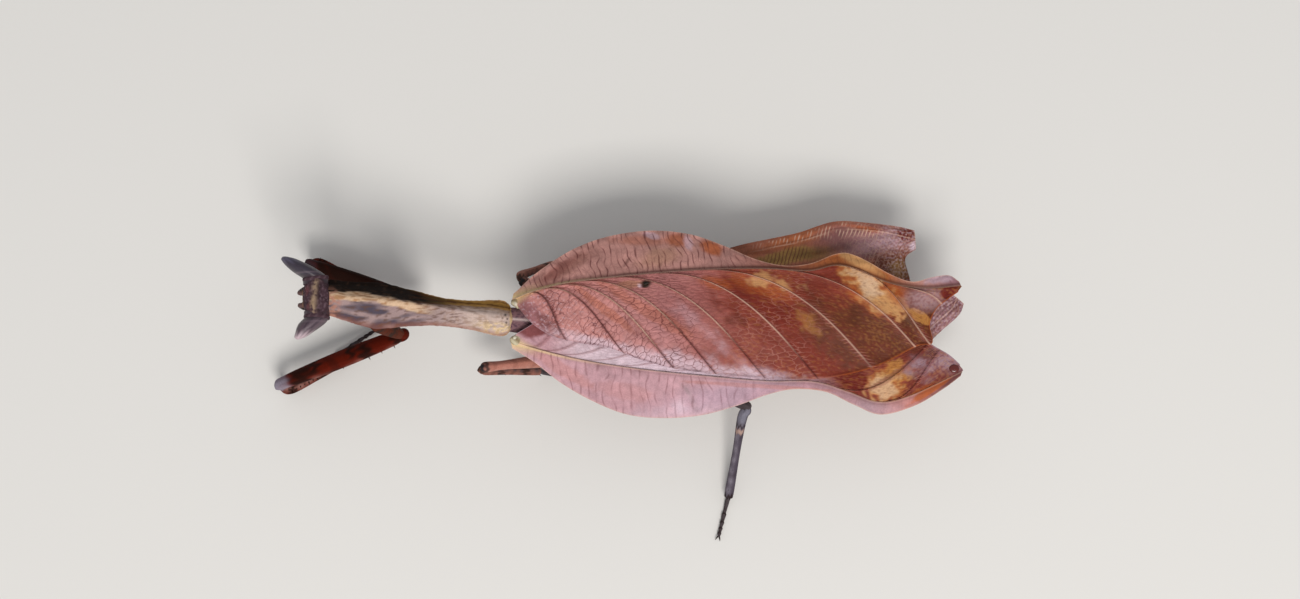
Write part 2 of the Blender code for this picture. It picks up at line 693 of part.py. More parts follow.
# Spines of the grasping leg: they face each other across the gap between thigh and shin
SPINE_FIRST = 0.14
SPINE_SPAN = 0.74
SPINE_SHORTER = 0.8
SPINE_FOOT_OUT = 0.5
SPINE_FOOT_DEEP = 0.8
SPINE_ROOT = 0.22
FEMUR_SPINES = 6
FEMUR_SPINE_RADIUS = 0.17
FEMUR_SPINE_LENGTHS = (0.55, 0.85)
TIBIA_SPINES = 6
TIBIA_SPINE_RADIUS = 0.14
TIBIA_SPINE_LENGTHS = (0.32, 0.48)
SPINE_TIP = 0.3
FEMUR_SPINE_SPREAD = 1.1
TIBIA_SPINE_SPREAD = 1.6


def fore_segments(side, root, hip, knee):
    """The ends of a foreleg's femur, tibia and tarsus, with the directions they share."""
    hip, knee = Vector(hip), Vector(knee)
    back = (hip - knee).normalized()
    outward = Vector((0, side, 0))
    tibia_start = knee + outward * TIBIA_OUT + back * TIBIA_BACK
    tibia_end = tibia_start + back * FORE_TIBIA_LENGTH - outward * TIBIA_TURN_IN
    tibia_start.z, tibia_end.z = TIBIA_HEIGHTS
    toe_root = tibia_start + back * FORE_TOE_BACK - outward * FORE_TOE_IN
    toe_end = toe_root + back * FORE_TOE_LENGTH - outward * FORE_TOE_TURN_IN
    toe_root.z, toe_end.z = FORE_TOE_HEIGHTS
    return {
        "coxa": trimmed(root, hip, 0.0, FORE_COXA_TRIM),
        "femur": trimmed(hip, knee, FORE_FEMUR_TRIM, 0.0),
        "tibia": (tibia_start, tibia_end),
        "tarsus": (toe_root, toe_end),
        "lean": Vector((0, side * FEMUR_LEAN, 1)),
    }


def foreleg(ends):
    """The coxa, femur, tibia and tarsus of a foreleg, still without spines."""
    up = (0, 0, 1)
    coxa = straight_limb(*ends["coxa"], FORE_COXA, (0, 1, 0), LIMB_SIDES)
    femur = straight_limb(*ends["femur"], FORE_FEMUR, ends["lean"], FORE_FEMUR_SIDES)
    tibia = stand_on_floor(straight_limb(*ends["tibia"], FORE_TIBIA, up, LIMB_SIDES, turn=SOLE_TURN))
    tarsus = stand_on_floor(straight_limb(*ends["tarsus"], TARSUS, up, LIMB_SIDES, turn=SOLE_TURN))
    return {"coxa": loft(coxa), "femur": loft(femur), "tibia": loft(tibia), "tarsus": loft(tarsus)}


def spine(root, way, radius, length, along):
    """A tapered spine, rooted well inside its segment."""
    tip = root + way * length
    foot = root - way * SPINE_ROOT
    profile = [(0.0, radius, radius), (1.0, radius * SPINE_TIP, radius * SPINE_TIP)]
    return loft(straight_limb(foot, tip, profile, along, SPINE_SIDES))


def spine_rows(ends, sizes, facing, count, radius, lengths, spread, dice):
    """Spines in two rows along the side of a segment that faces its neighbour."""
    start, end = Vector(ends[0]), Vector(ends[1])
    along = (end - start).normalized()
    across = along.cross(Vector((0, 0, 1))).normalized()
    made = []
    for row in (-1, 1):
        for n in range(count):
            share = SPINE_FIRST + SPINE_SPAN * (n + 0.5 * (row > 0)) / count
            half_width = table_value([(s, w) for s, w, _ in sizes], share)
            half_height = table_value([(s, h) for s, _, h in sizes], share)
            way = (facing + across * (row * spread)).normalized()
            skin = across * (row * half_width * SPINE_FOOT_OUT) + facing * (half_height * SPINE_FOOT_DEEP)
            length = dice.uniform(*lengths) * (1.0 if n % 2 else SPINE_SHORTER)
            made.append(spine(start.lerp(end, share) + skin, way, radius, length, along))
    return made


def union(target, parts):
    """Joins the parts to the target by one Boolean over their collection, applied, and removes them."""
    group = bpy.data.collections.new(target.name + "_parts")
    bpy.context.scene.collection.children.link(group)
    for part in parts:
        bpy.context.scene.collection.objects.unlink(part)
        group.objects.link(part)
    join = target.modifiers.new("Join", "BOOLEAN")
    join.operation = "UNION"
    join.solver = "EXACT"
    join.operand_type = "COLLECTION"
    join.collection = group
    bpy.context.view_layer.update()
    graph = bpy.context.evaluated_depsgraph_get()
    joined = bpy.data.meshes.new_from_object(target.evaluated_get(graph))
    target.modifiers.remove(join)
    target.data = joined
    for part in parts:
        bpy.data.objects.remove(part, do_unlink=True)
    bpy.data.collections.remove(group)
    return target


def main():
    clear_scene()
    paint = make_materials()
    rig = bpy.data.objects.new("mantis_frame", None)
    rig.location = (MM * HINGE_X, MM * AXIS_Y, 0.0)
    bpy.context.scene.collection.objects.link(rig)

    def add(name, shape, colour):
        return add_piece(name, *shape, paint[colour], rig)

    add("head", head(), "bark_grey")
    for name, side in (("left", 1), ("right", -1)):
        add("eye_" + name, eye(side), "eye_grey")
        add("antenna_" + name, antenna(side), "leg_dark")
    add("prothorax", prothorax(), "bark_tan")
    thorax = add("thorax", loft(trunk_rings(THORAX, TRUNK_SIDES)), "bark_grey")
    union(thorax, [add("pad_%d" % side, hinge_pad(side), "bark_grey") for side in (1, -1)])
    add("abdomen", abdomen(), "leaf_shade")
    for name, side in (("left", -1), ("right", 1)):
        add("cercus_" + name, cercus(side), "leg_dark")
    add("forewing_right", forewing(RIGHT_FRONT, RIGHT_RADIUS, RIGHT_REAR, 1, 1, 0), "leaf_brown")
    add("forewing_left", forewing(LEFT_FRONT, LEFT_RADIUS, LEFT_REAR, -1, 0, LEFT_BARE_FROM), "leaf_brown")
    add("hindwing_right", hindwing(RIGHT_HIND_FRONT, RIGHT_HIND_INNER, RIGHT_HIND_BARE), "leaf_shade")
    add("hindwing_left", hindwing(LEFT_HIND_FRONT, LEFT_HIND_INNER, LEFT_HIND_BARE), "leaf_shade")
    for name, points in WALKING_LEGS.items():
        for segment, shape in walking_leg(points).items():
            pair, hand = name.split("_")
            add("%s_%s_%s" % (pair, segment, hand), shape, "leg_red")
    dice = random.Random(7)
    for name, points in FORELEGS.items():
        ends = fore_segments(**points)
        made = {}
        for segment, shape in foreleg(ends).items():
            made[segment] = add("fore_%s_%s" % (segment, name), shape, "leg_red")
        rows = {
            "femur": spine_rows(
                ends["femur"], FORE_FEMUR, Vector((0, 0, -1)), FEMUR_SPINES, FEMUR_SPINE_RADIUS,
                FEMUR_SPINE_LENGTHS, FEMUR_SPINE_SPREAD, dice,
            ),
            "tibia": spine_rows(
                ends["tibia"], FORE_TIBIA, Vector((0, 0, 1)), TIBIA_SPINES, TIBIA_SPINE_RADIUS,
                TIBIA_SPINE_LENGTHS, TIBIA_SPINE_SPREAD, dice,
            ),
        }
        for segment, shapes in rows.items():
            spines = [add("spine_%d" % n, shape, "leg_red") for n, shape in enumerate(shapes)]
            union(made[segment], spines)


main()
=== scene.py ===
"""Looks of the dead leaf mantis: veined leaf wings, one skin for the trunk, fine legs, eyes and feelers.

Shapes are worked out in millimetres in the body frame: zero between the forewing hinges on the floor, +X
towards the wing tips, +Y towards the animal's right, +Z up.
"""

import math
import random

import bmesh
import bpy
import numpy as np
from mathutils import Matrix, Vector, kdtree, noise


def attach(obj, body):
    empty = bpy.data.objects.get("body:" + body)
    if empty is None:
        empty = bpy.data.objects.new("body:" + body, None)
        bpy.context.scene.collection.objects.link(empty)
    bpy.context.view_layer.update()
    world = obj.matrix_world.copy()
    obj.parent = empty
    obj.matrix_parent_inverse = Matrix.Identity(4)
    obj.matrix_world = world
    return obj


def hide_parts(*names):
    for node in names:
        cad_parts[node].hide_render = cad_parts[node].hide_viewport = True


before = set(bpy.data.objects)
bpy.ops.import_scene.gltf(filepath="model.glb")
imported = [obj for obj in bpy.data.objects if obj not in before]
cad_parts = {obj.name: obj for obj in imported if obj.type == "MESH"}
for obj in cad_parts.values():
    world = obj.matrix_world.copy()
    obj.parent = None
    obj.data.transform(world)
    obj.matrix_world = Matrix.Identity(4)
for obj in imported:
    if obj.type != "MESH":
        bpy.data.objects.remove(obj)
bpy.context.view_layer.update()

MM = 0.001
HINGE_X = -7.69
AXIS_Y = 3.75


# Colours

def srgb(red, green, blue):
    """A colour as the eye reads it, 0 to 255, turned into the linear values that shaders take."""
    return np.array([(c / 255) ** 2.2 for c in (red, green, blue)])


DUSTY_PINK = srgb(184, 125, 120)
PALE_PINK = srgb(183, 141, 148)
BROWN_PINK = srgb(188, 136, 127)
CRIMSON = srgb(120, 54, 52)
LEAF_RED = srgb(118, 50, 38)
DEEP_RED = srgb(98, 28, 20)
LEAF_BROWN = srgb(94, 49, 33)
DARK_BROWN = srgb(72, 42, 32)
TAN = srgb(198, 150, 100)
GOLD = srgb(182, 124, 66)
ORANGE = srgb(166, 84, 38)
LILAC = srgb(200, 172, 184)
BLOOM_GREY = srgb(140, 102, 108)
PURPLE_BROWN = srgb(102, 60, 60)
SHEEN_WHITE = srgb(216, 194, 206)
CREAM = srgb(218, 178, 156)
OLIVE = srgb(152, 116, 68)
HINGE_CREAM = srgb(212, 184, 134)
BLACK_GREEN = srgb(26, 26, 18)
BLOTCH_EDGE = srgb(158, 90, 50)
BLOTCH_CREAM = srgb(210, 176, 146)
DARK_LINE = srgb(88, 38, 40)
PALE_LINE = srgb(192, 130, 116)
DARK_VEIN = srgb(66, 32, 30)
BARK_TAN = srgb(190, 148, 98)
BARK_GOLD = srgb(150, 112, 58)
BARK_CREAM = srgb(224, 194, 144)
BARK_PINK = srgb(178, 126, 108)
BARK_DARK = srgb(52, 38, 32)
BARK_GREY = srgb(128, 110, 112)
HEAD_DARK = srgb(72, 54, 60)
MAHOGANY = srgb(86, 29, 19)
BLACKISH = srgb(38, 24, 20)
KNEE_GREY = srgb(150, 142, 156)
SLATE = srgb(72, 64, 66)


# Numbers along curves

def through(points, share):
    """Points at these shares, 0 to 1, of a smooth curve through the points."""
    points = np.asarray(points, float)
    share = np.atleast_1d(np.asarray(share, float))
    lengths = np.linalg.norm(np.diff(points, axis=0), axis=1)
    spans = np.concatenate([[0.0], np.cumsum(lengths)])
    goal = np.clip(share, 0, 1) * spans[-1]
    at = np.clip(np.searchsorted(spans, goal, side="right") - 1, 0, len(lengths) - 1)
    t = ((goal - spans[at]) / lengths[at])[:, None]
    ends = np.vstack([2 * points[0] - points[1], points, 2 * points[-1] - points[-2]])
    p0, p1, p2, p3 = (ends[at + k] for k in range(4))
    return 0.5 * (
        2 * p1 + (p2 - p0) * t + (2 * p0 - 5 * p1 + 4 * p2 - p3) * t**2 + (3 * p1 - p0 - 3 * p2 + p3) * t**3
    )


def share_at_x(points, x):
    """The first share of the curve that reaches each x."""
    shares = np.linspace(0, 1, 2001)
    reached = np.maximum.accumulate(through(points, shares)[:, 0])
    return np.interp(x, reached, shares)


def table(pairs, x):
    """Smooth values between (x, value) pairs."""
    return through(pairs, share_at_x(pairs, np.clip(x, pairs[0][0], pairs[-1][0])))[:, 1]


def columns_at(rows, x):
    """Smooth values at x for each further column of a table that starts with x."""
    return (table([(row[0], row[k]) for row in rows], x) for k in range(1, len(rows[0])))


def crowded_ends(first, last, count):
    """Numbers from first to last that lie closer together near both ends."""
    turn = math.pi * (np.arange(count) + 0.5) / count
    return first + (last - first) * (0.5 - 0.5 * np.cos(turn))


def smoothstep(low, high, value):
    """0 at low and 1 at high, with a soft start and end."""
    share = np.clip((np.asarray(value, float) - low) / (high - low), 0, 1)
    return share * share * (3 - 2 * share)


def mix(a, b, share):
    """Colour b laid over colour a by its share at each point."""
    share = np.asarray(share, float)
    return a * (1 - share[..., None]) + b * share[..., None]


def rough_noise(points, scale, seed=0.0):
    """Smooth noise, about -1 to 1, at each point. scale is the size of its waves in millimetres."""
    return np.array([noise.noise(Vector((p[0] / scale + seed, p[1] / scale, p[2] / scale))) for p in points])


# Meshes

def to_world(points):
    return (np.asarray(points, float) + np.array([HINGE_X, AXIS_Y, 0.0])) * MM


def mesh_from(name, points, faces, values=None):
    """A mesh in world metres. values holds (name, one number or colour per point)."""
    mesh = bpy.data.meshes.new(name)
    mesh.from_pydata(to_world(points).tolist(), [], [tuple(f) for f in faces])
    shell = bmesh.new()
    shell.from_mesh(mesh)
    bmesh.ops.recalc_face_normals(shell, faces=shell.faces)
    shell.to_mesh(mesh)
    shell.free()
    for key, data in (values or {}).items():
        set_values(mesh, key, data)
    return mesh


def set_values(mesh, key, data):
    data = np.asarray(data, float)
    if data.ndim == 1:
        layer = mesh.attributes.new(key, "FLOAT", "POINT")
        layer.data.foreach_set("value", data)
    else:
        layer = mesh.attributes.new(key, "FLOAT_COLOR", "POINT")
        flat = np.ones((len(data), 4))
        flat[:, :3] = data
        layer.data.foreach_set("color", flat.ravel())


def add_piece(name, mesh, material, replaces=(), crease=50.0):
    mesh.materials.clear()
    mesh.materials.append(material)
    mesh.shade_smooth()
    mesh.set_sharp_from_angle(angle=math.radians(crease))
    piece = bpy.data.objects.new(name, mesh)
    bpy.context.scene.collection.objects.link(piece)
    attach(piece, "root")
    if replaces:
        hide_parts(*replaces)
    return piece


def loft(rings, tones):
    """A closed skin over rings of equal count, with the tone of each point."""
    rings = np.asarray(rings)
    count = rings.shape[1]
    faces = []
    for i in range(len(rings) - 1):
        for k in range(count):
            here, after = i * count + k, i * count + (k + 1) % count
            faces.append((here, after, after + count, here + count))
    last = (len(rings) - 1) * count
    faces.append(tuple(reversed(range(count))))
    faces.append(tuple(range(last, last + count)))
    return rings.reshape(-1, 3), faces, np.asarray(tones).reshape(-1, 3)


def unit(vector):
    vector = np.asarray(vector, float)
    return vector / np.linalg.norm(vector)


def limb(path, sizes, up, tone, rings=24, sides=16, ridge=0.0, turn=0.0):
    """A limb along a smooth path. sizes holds (share, half width, half height) and tone gives the
    colours from (shares, angles). ridge raises keels along its length."""
    shares = np.linspace(0, 1, rings)
    centres = through(path, shares)
    ahead = np.gradient(centres, axis=0)
    ahead /= np.linalg.norm(ahead, axis=1)[:, None]
    side = np.cross(ahead, np.asarray(up, float))
    side /= np.linalg.norm(side, axis=1)[:, None]
    top = np.cross(side, ahead)
    width, height = columns_at(sizes, shares)
    angles = turn + 2 * math.pi * np.arange(sides) / sides
    keel = 1 + ridge * np.cos(4 * angles) + ridge * 0.5 * np.cos(8 * angles)
    points = []
    for i in range(rings):
        across = np.outer(width[i] * np.cos(angles) * keel, side[i])
        upward = np.outer(height[i] * np.sin(angles) * keel, top[i])
        points.append(centres[i] + across + upward)
    share_grid, angle_grid = np.meshgrid(shares, angles, indexing="ij")
    return loft(points, tone(share_grid, angle_grid))


def plain(colour):
    """One colour all over a limb."""
    return lambda shares, _: np.broadcast_to(colour, (*shares.shape, 3))


def union(name, shapes):
    """One closed mesh out of overlapping closed shapes, its tones taken from the nearest of their points."""
    group = bpy.data.collections.new(name + "_parts")
    bpy.context.scene.collection.children.link(group)
    made = []
    for n, (points, faces, _) in enumerate(shapes):
        part = bpy.data.objects.new("%s_%d" % (name, n), mesh_from(name, points, faces))
        made.append(part)
        if n:
            group.objects.link(part)
    bpy.context.scene.collection.objects.link(made[0])
    if len(made) > 1:
        join = made[0].modifiers.new("Join", "BOOLEAN")
        join.operation = "UNION"
        join.solver = "MANIFOLD"
        join.operand_type = "COLLECTION"
        join.collection = group
    bpy.context.view_layer.update()
    graph = bpy.context.evaluated_depsgraph_get()
    mesh = bpy.data.meshes.new_from_object(made[0].evaluated_get(graph))
    for part in made:
        bpy.data.objects.remove(part, do_unlink=True)
    bpy.data.collections.remove(group)
    take_tones(mesh, shapes)
    return mesh


def take_tones(mesh, shapes):
    """Each point of the mesh takes the tone of the nearest point of the shapes that it came from."""
    points = to_world(np.vstack([shape[0] for shape in shapes]))
    tones = np.vstack([shape[2] for shape in shapes])
    tree = kdtree.KDTree(len(points))
    for i, point in enumerate(points):
        tree.insert(point, i)
    tree.balance()
    nearest = [tree.find(v.co)[1] for v in mesh.vertices]
    set_values(mesh, "tone", tones[nearest])


# Shader node groups

def link(tree, source, target):
    tree.links.new(source, target)


def math_node(tree, operation, a, b=None, c=None, clamp=False):
    node = tree.nodes.new("ShaderNodeMath")
    node.operation = operation
    node.use_clamp = clamp
    for socket, value in zip(node.inputs, (a, b, c)):
        if value is None:
            continue
        if isinstance(value, (int, float)):
            socket.default_value = value
        else:
            link(tree, value, socket)
    return node.outputs[0]


def mix_colour(tree, share, a, b, blend="MIX"):
    node = tree.nodes.new("ShaderNodeMix")
    node.data_type = "RGBA"
    node.blend_type = blend
    node.clamp_factor = True
    for socket, value in ((node.inputs[0], share), (node.inputs[6], a), (node.inputs[7], b)):
        if isinstance(value, (int, float)):
            socket.default_value = value
        elif isinstance(value, (tuple, list, np.ndarray)):
            socket.default_value = (*value, 1.0)
        else:
            link(tree, value, socket)
    return node.outputs[2]


def new_group(name, inputs, outputs):
    group = bpy.data.node_groups.new(name, "ShaderNodeTree")
    for label, kind, value in inputs:
        socket = group.interface.new_socket(label, in_out="INPUT", socket_type=kind)
        if value is not None:
            socket.default_value = value
    for label, kind in outputs:
        group.interface.new_socket(label, in_out="OUTPUT", socket_type=kind)
    return group, group.nodes.new("NodeGroupInput").outputs, group.nodes.new("NodeGroupOutput").inputs


FLOAT, COLOUR = "NodeSocketFloat", "NodeSocketColor"


def millimetres(tree):
    """The surface's own place, in millimetres."""
    place = tree.nodes.new("ShaderNodeTexCoord")
    scale = tree.nodes.new("ShaderNodeVectorMath")
    scale.operation = "SCALE"
    scale.inputs[3].default_value = 1 / MM
    link(tree, place.outputs["Object"], scale.inputs[0])
    return scale.outputs[0]


def noise_value(tree, vector, scale, detail=3.0, roughness=0.55):
    node = tree.nodes.new("ShaderNodeTexNoise")
    node.inputs["Detail"].default_value = detail
    node.inputs["Roughness"].default_value = roughness
    link(tree, vector, node.inputs["Vector"])
    if isinstance(scale, (int, float)):
        node.inputs["Scale"].default_value = scale
    else:
        link(tree, scale, node.inputs["Scale"])
    return node.outputs[0]


def make_mottle():
    """Uneven colour: broad clouds and fine grain, darker and lighter than the tone that comes in."""
    group, given, out = new_group(
        "mottle",
        [("Tone", COLOUR, None), ("Cloud scale", FLOAT, 1.2), ("Grain scale", FLOAT, 9.0),
         ("Cloud", FLOAT, 0.25), ("Grain", FLOAT, 0.2)],
        [("Colour", COLOUR), ("Grain", FLOAT)],
    )
    where = millimetres(group)
    cloud = noise_value(group, where, given["Cloud scale"], 4.0)
    grain = noise_value(group, where, given["Grain scale"], 2.0)
    cloud_swing = math_node(group, "MULTIPLY", math_node(group, "SUBTRACT", cloud, 0.5), given["Cloud"])
    grain_swing = math_node(group, "MULTIPLY", math_node(group, "SUBTRACT", grain, 0.5), given["Grain"])
    lift = math_node(group, "ADD", cloud_swing, grain_swing)
    bright = math_node(group, "MULTIPLY_ADD", lift, 3.0, 1.0)
    scaled = group.nodes.new("ShaderNodeVectorMath")
    scaled.operation = "SCALE"
    link(group, given["Tone"], scaled.inputs[0])
    link(group, bright, scaled.inputs[3])
    link(group, scaled.outputs[0], out["Colour"])
    link(group, grain, out["Grain"])
    return group


def make_leaf_net():
    """The net of small cells between a wing's veins, and the rungs that cross a strip of it."""
    group, given, out = new_group(
        "leaf_net",
        [("Cell size", FLOAT, 0.36), ("Line width", FLOAT, 0.04), ("Across", FLOAT, 0.0),
            ("Along", FLOAT, 0.0),
         ("Rung spacing", FLOAT, 0.4)],
        [("Net", FLOAT), ("Bulge", FLOAT), ("Rungs", FLOAT)],
    )
    where = millimetres(group)
    bend = group.nodes.new("ShaderNodeTexNoise")
    bend.inputs["Scale"].default_value = 2.4
    link(group, where, bend.inputs["Vector"])
    place = group.nodes.new("ShaderNodeCombineXYZ")
    link(group, math_node(group, "MULTIPLY", given["Across"], 0.6), place.inputs[0])
    link(group, math_node(group, "MULTIPLY", given["Along"], 0.6), place.inputs[1])
    pull = group.nodes.new("ShaderNodeVectorMath")
    pull.operation = "MULTIPLY_ADD"
    pull.inputs[1].default_value = (0.42, 0.42, 0.0)
    link(group, bend.outputs["Color"], pull.inputs[0])
    link(group, place.outputs[0], pull.inputs[2])
    edge = group.nodes.new("ShaderNodeTexVoronoi")
    edge.voronoi_dimensions = "2D"
    edge.feature = "DISTANCE_TO_EDGE"
    edge.inputs["Randomness"].default_value = 0.9
    link(group, pull.outputs[0], edge.inputs["Vector"])
    link(group, math_node(group, "DIVIDE", 1.0, given["Cell size"]), edge.inputs["Scale"])
    gap = math_node(group, "MULTIPLY", edge.outputs["Distance"], given["Cell size"])
    share = math_node(group, "DIVIDE", gap, given["Line width"], clamp=True)
    link(group, math_node(group, "SUBTRACT", 1.0, share), out["Net"])
    link(group, math_node(group, "MINIMUM", math_node(group, "MULTIPLY", edge.outputs["Distance"], 2.2),
        1.0), out["Bulge"])
    wave = math_node(group, "DIVIDE", given["Along"], given["Rung spacing"])
    rung_gap = math_node(group, "MULTIPLY", math_node(group, "PINGPONG", wave, 0.5), given["Rung spacing"])
    share = math_node(group, "DIVIDE", rung_gap, math_node(group, "MULTIPLY", given["Line width"], 2.1),
        clamp=True)
    link(group, math_node(group, "SUBTRACT", 1.0, share), out["Rungs"])
    return group


def make_pits():
    """Fine grain of a hard insect skin, as a height."""
    group, given, out = new_group("pits", [("Scale", FLOAT, 20.0), ("Pits", FLOAT, 0.5)], [("Height", FLOAT)])
    where = millimetres(group)
    grain = noise_value(group, where, given["Scale"], 4.0, 0.6)
    dots = group.nodes.new("ShaderNodeTexVoronoi")
    dots.feature = "SMOOTH_F1"
    link(group, where, dots.inputs["Vector"])
    link(group, given["Scale"], dots.inputs["Scale"])
    deep = math_node(group, "MULTIPLY", dots.outputs["Distance"], given["Pits"])
    link(group, math_node(group, "ADD", grain, deep), out["Height"])
    return group


MOTTLE = make_mottle()
LEAF_NET = make_leaf_net()
PITS = make_pits()


def new_material(name):
    material = bpy.data.materials.new(name)
    material.use_nodes = True
    tree = material.node_tree
    return material, tree, tree.nodes["Principled BSDF"]


def place_group(tree, group, **values):
    node = tree.nodes.new("ShaderNodeGroup")
    node.node_tree = group
    for label, value in values.items():
        socket = node.inputs[label.replace("_", " ")]
        if isinstance(value, (int, float)):
            socket.default_value = value
        else:
            link(tree, value, socket)
    return node.outputs


def read_value(tree, key, output="Fac"):
    node = tree.nodes.new("ShaderNodeAttribute")
    node.attribute_name = key
    return node.outputs[output]


def add_bump(tree, shader, height, depth):
    node = tree.nodes.new("ShaderNodeBump")
    node.inputs["Distance"].default_value = depth * MM
    link(tree, height, node.inputs["Height"])
    link(tree, node.outputs[0], shader.inputs["Normal"])


def wing_material(name, cell, line, rung_spacing, pale_line=PALE_LINE):
    """Leathery leaf skin: painted tone under dark and pale veins, net lines and rungs."""
    material, tree, shader = new_material(name)
    tone = place_group(tree, MOTTLE, Tone=read_value(tree, "tone", "Color"), Cloud_scale=1.6, Grain_scale=9.0,
                       Cloud=0.14, Grain=0.16)
    net = place_group(tree, LEAF_NET, Cell_size=cell, Line_width=line, Across=read_value(tree, "across"),
                      Along=read_value(tree, "along"), Rung_spacing=rung_spacing)
    colour = tone["Colour"]
    for shade, line_colour in (("dark", DARK_LINE), ("pale", pale_line)):
        in_net = math_node(tree, "MULTIPLY", net["Net"], read_value(tree, shade + "_net"))
        in_rungs = math_node(tree, "MULTIPLY", net["Rungs"], read_value(tree, shade + "_rungs"))
        colour = mix_colour(tree, math_node(tree, "MAXIMUM", in_net, in_rungs), colour, tuple(line_colour))
    colour = mix_colour(tree, read_value(tree, "pale_vein"), colour, tuple(CREAM))
    colour = mix_colour(tree, read_value(tree, "dark_vein"), colour, tuple(DARK_VEIN))
    link(tree, colour, shader.inputs["Base Color"])
    link(tree, math_node(tree, "MULTIPLY_ADD", tone["Grain"], 0.3, 0.4), shader.inputs["Roughness"])
    crumple = read_value(tree, "crumple")
    height = math_node(tree, "MULTIPLY", net["Bulge"], crumple)
    rung_height = math_node(tree, "MULTIPLY", net["Rungs"], read_value(tree, "dark_rungs"))
    height = math_node(tree, "MULTIPLY_ADD", rung_height, -0.35, height)
    height = math_node(tree, "MULTIPLY_ADD", tone["Grain"], 0.2, height)
    add_bump(tree, shader, height, 0.035)
    shader.inputs["Specular IOR Level"].default_value = 0.15
    return material


def skin_material(name, roughness=0.5, cloud=0.2, grain=0.3, scale=20.0, depth=0.012, specular=0.3, coat=0.0):
    """Hard insect skin with its painted tone, mottling and fine grain."""
    material, tree, shader = new_material(name)
    tone = place_group(tree, MOTTLE, Tone=read_value(tree, "tone", "Color"), Cloud_scale=1.3,
                       Grain_scale=scale * 0.5, Cloud=cloud, Grain=grain)
    link(tree, tone["Colour"], shader.inputs["Base Color"])
    link(tree, math_node(tree, "MULTIPLY_ADD", tone["Grain"], 0.3, roughness - 0.15),
        shader.inputs["Roughness"])
    pits = place_group(tree, PITS, Scale=scale, Pits=0.5)
    add_bump(tree, shader, pits["Height"], depth)
    shader.inputs["Specular IOR Level"].default_value = specular
    shader.inputs["Coat Weight"].default_value = coat
    shader.inputs["Coat Roughness"].default_value = 0.25
    return material


# Wings

LEAF_HEIGHT = [(-1.0, 8.5), (0, 8.6), (3, 8.65), (9, 8.75), (15, 8.65), (21, 8.3), (27, 7.6), (35, 6.5)]
RIDGE_SIDE = [(-1.0, 1.5), (0, 1.6), (3.3, 2.6), (7.1, 3.2), (13.0, 3.85), (18.3, 4.15), (23.0, 4.3),
              (27.0, 4.9), (35, 4.9)]
CROWN = 0.3
COSTAL_FALL = 0.48
COSTAL_CURL = 0.035
HIND_FALL_UNTIL = 1.5
HIND_FALL_BEYOND = 0.1
WING_STEP = 1.0

RIGHT_FRONT = [
    (-0.25, 2.0), (2.0, 4.0), (4.3, 5.6), (6.9, 6.65), (10.0, 7.15), (13.0, 6.9), (15.6, 6.0),
    (18.0, 4.95), (20.2, 4.5), (22.2, 4.75), (24.2, 5.6), (25.6, 5.5), (28.3, 4.1), (30.0, 3.6),
    (31.5, 4.0), (32.8, 4.2), (33.6, 3.75),
]
RIGHT_RADIUS = [
    (-0.35, 1.5), (3.3, 2.6), (7.1, 3.2), (13.0, 3.85), (18.3, 4.15), (22.0, 4.1), (24.6, 4.6),
    (28.2, 3.4), (31.0, 3.1), (33.75, 3.4),
]
RIGHT_REAR = [
    (0.1, 0.95), (1.3, -0.35), (2.9, -1.3), (4.6, -1.7), (7.2, -2.1), (9.9, -3.0), (13.2, -3.65),
    (18.9, -4.05), (23.1, -3.95), (27.1, -3.0), (30.4, -1.3), (31.6, -1.0), (31.4, 0.4),
    (31.9, 1.6), (32.8, 2.4), (33.6, 3.0),
]
LEFT_FRONT = [
    (-0.25, -2.15), (1.5, -3.2), (3.4, -4.6), (5.7, -5.85), (8.4, -6.85), (11.1, -7.1), (14.1, -6.85),
    (16.8, -6.1), (19.2, -5.2), (21.2, -4.75), (23.6, -4.9), (25.8, -5.8), (27.9, -6.45),
    (30.5, -5.7), (32.6, -4.4), (33.9, -3.4),
]
LEFT_RADIUS = [
    (-0.35, -1.65), (3.4, -2.6), (6.4, -3.15), (10.2, -3.6), (14.0, -3.9), (18.9, -4.2), (22.6, -4.15),
    (25.2, -4.8), (27.6, -5.5), (30.0, -5.0), (34.05, -3.0),
]
LEFT_REAR = [
    (0.1, -1.05), (1.3, -0.3), (2.6, 0.5), (4.6, 1.3), (8.0, 2.2), (13.0, 3.0), (19.0, 3.2),
    (24.0, 2.5), (28.0, 1.0), (30.4, -0.3), (31.8, -1.15), (33.0, -1.8), (33.85, -2.5),
]
BRANCH_VEINS = [
    (0.9, 3.9), (1.7, 8.2), (2.6, 12.0), (4.4, 15.2), (7.0, 18.9), (10.2, 22.9), (14.2, 27.0),
    (20.2, 30.3), (24.4, 31.45), (28.0, 32.3),
]
VEIN_LEAVE = 0.40
VEIN_ARRIVE = 0.33
VEIN_ANGLE = math.radians(47)

COLUMN_STEP = 0.11
COSTAL_ROWS = 40
FIELD_ROWS = 100
END_CROWDING = 0.06
VEIN_HALF_WIDTH = 0.13
VEIN_PROFILE = [(-1.0, 0.0), (-0.55, 0.6), (0.0, 1.0), (0.55, 0.6), (1.0, 0.0)]
RADIUS_RISE = 0.24
BRANCH_RISE = 0.13
SKIN_THICK = 0.26
SKIN_EDGE = 0.1
REAR_SETTLE = 0.45
RUNG_SPACING = 0.6
FIELD_RUNG_SPACING = 0.34


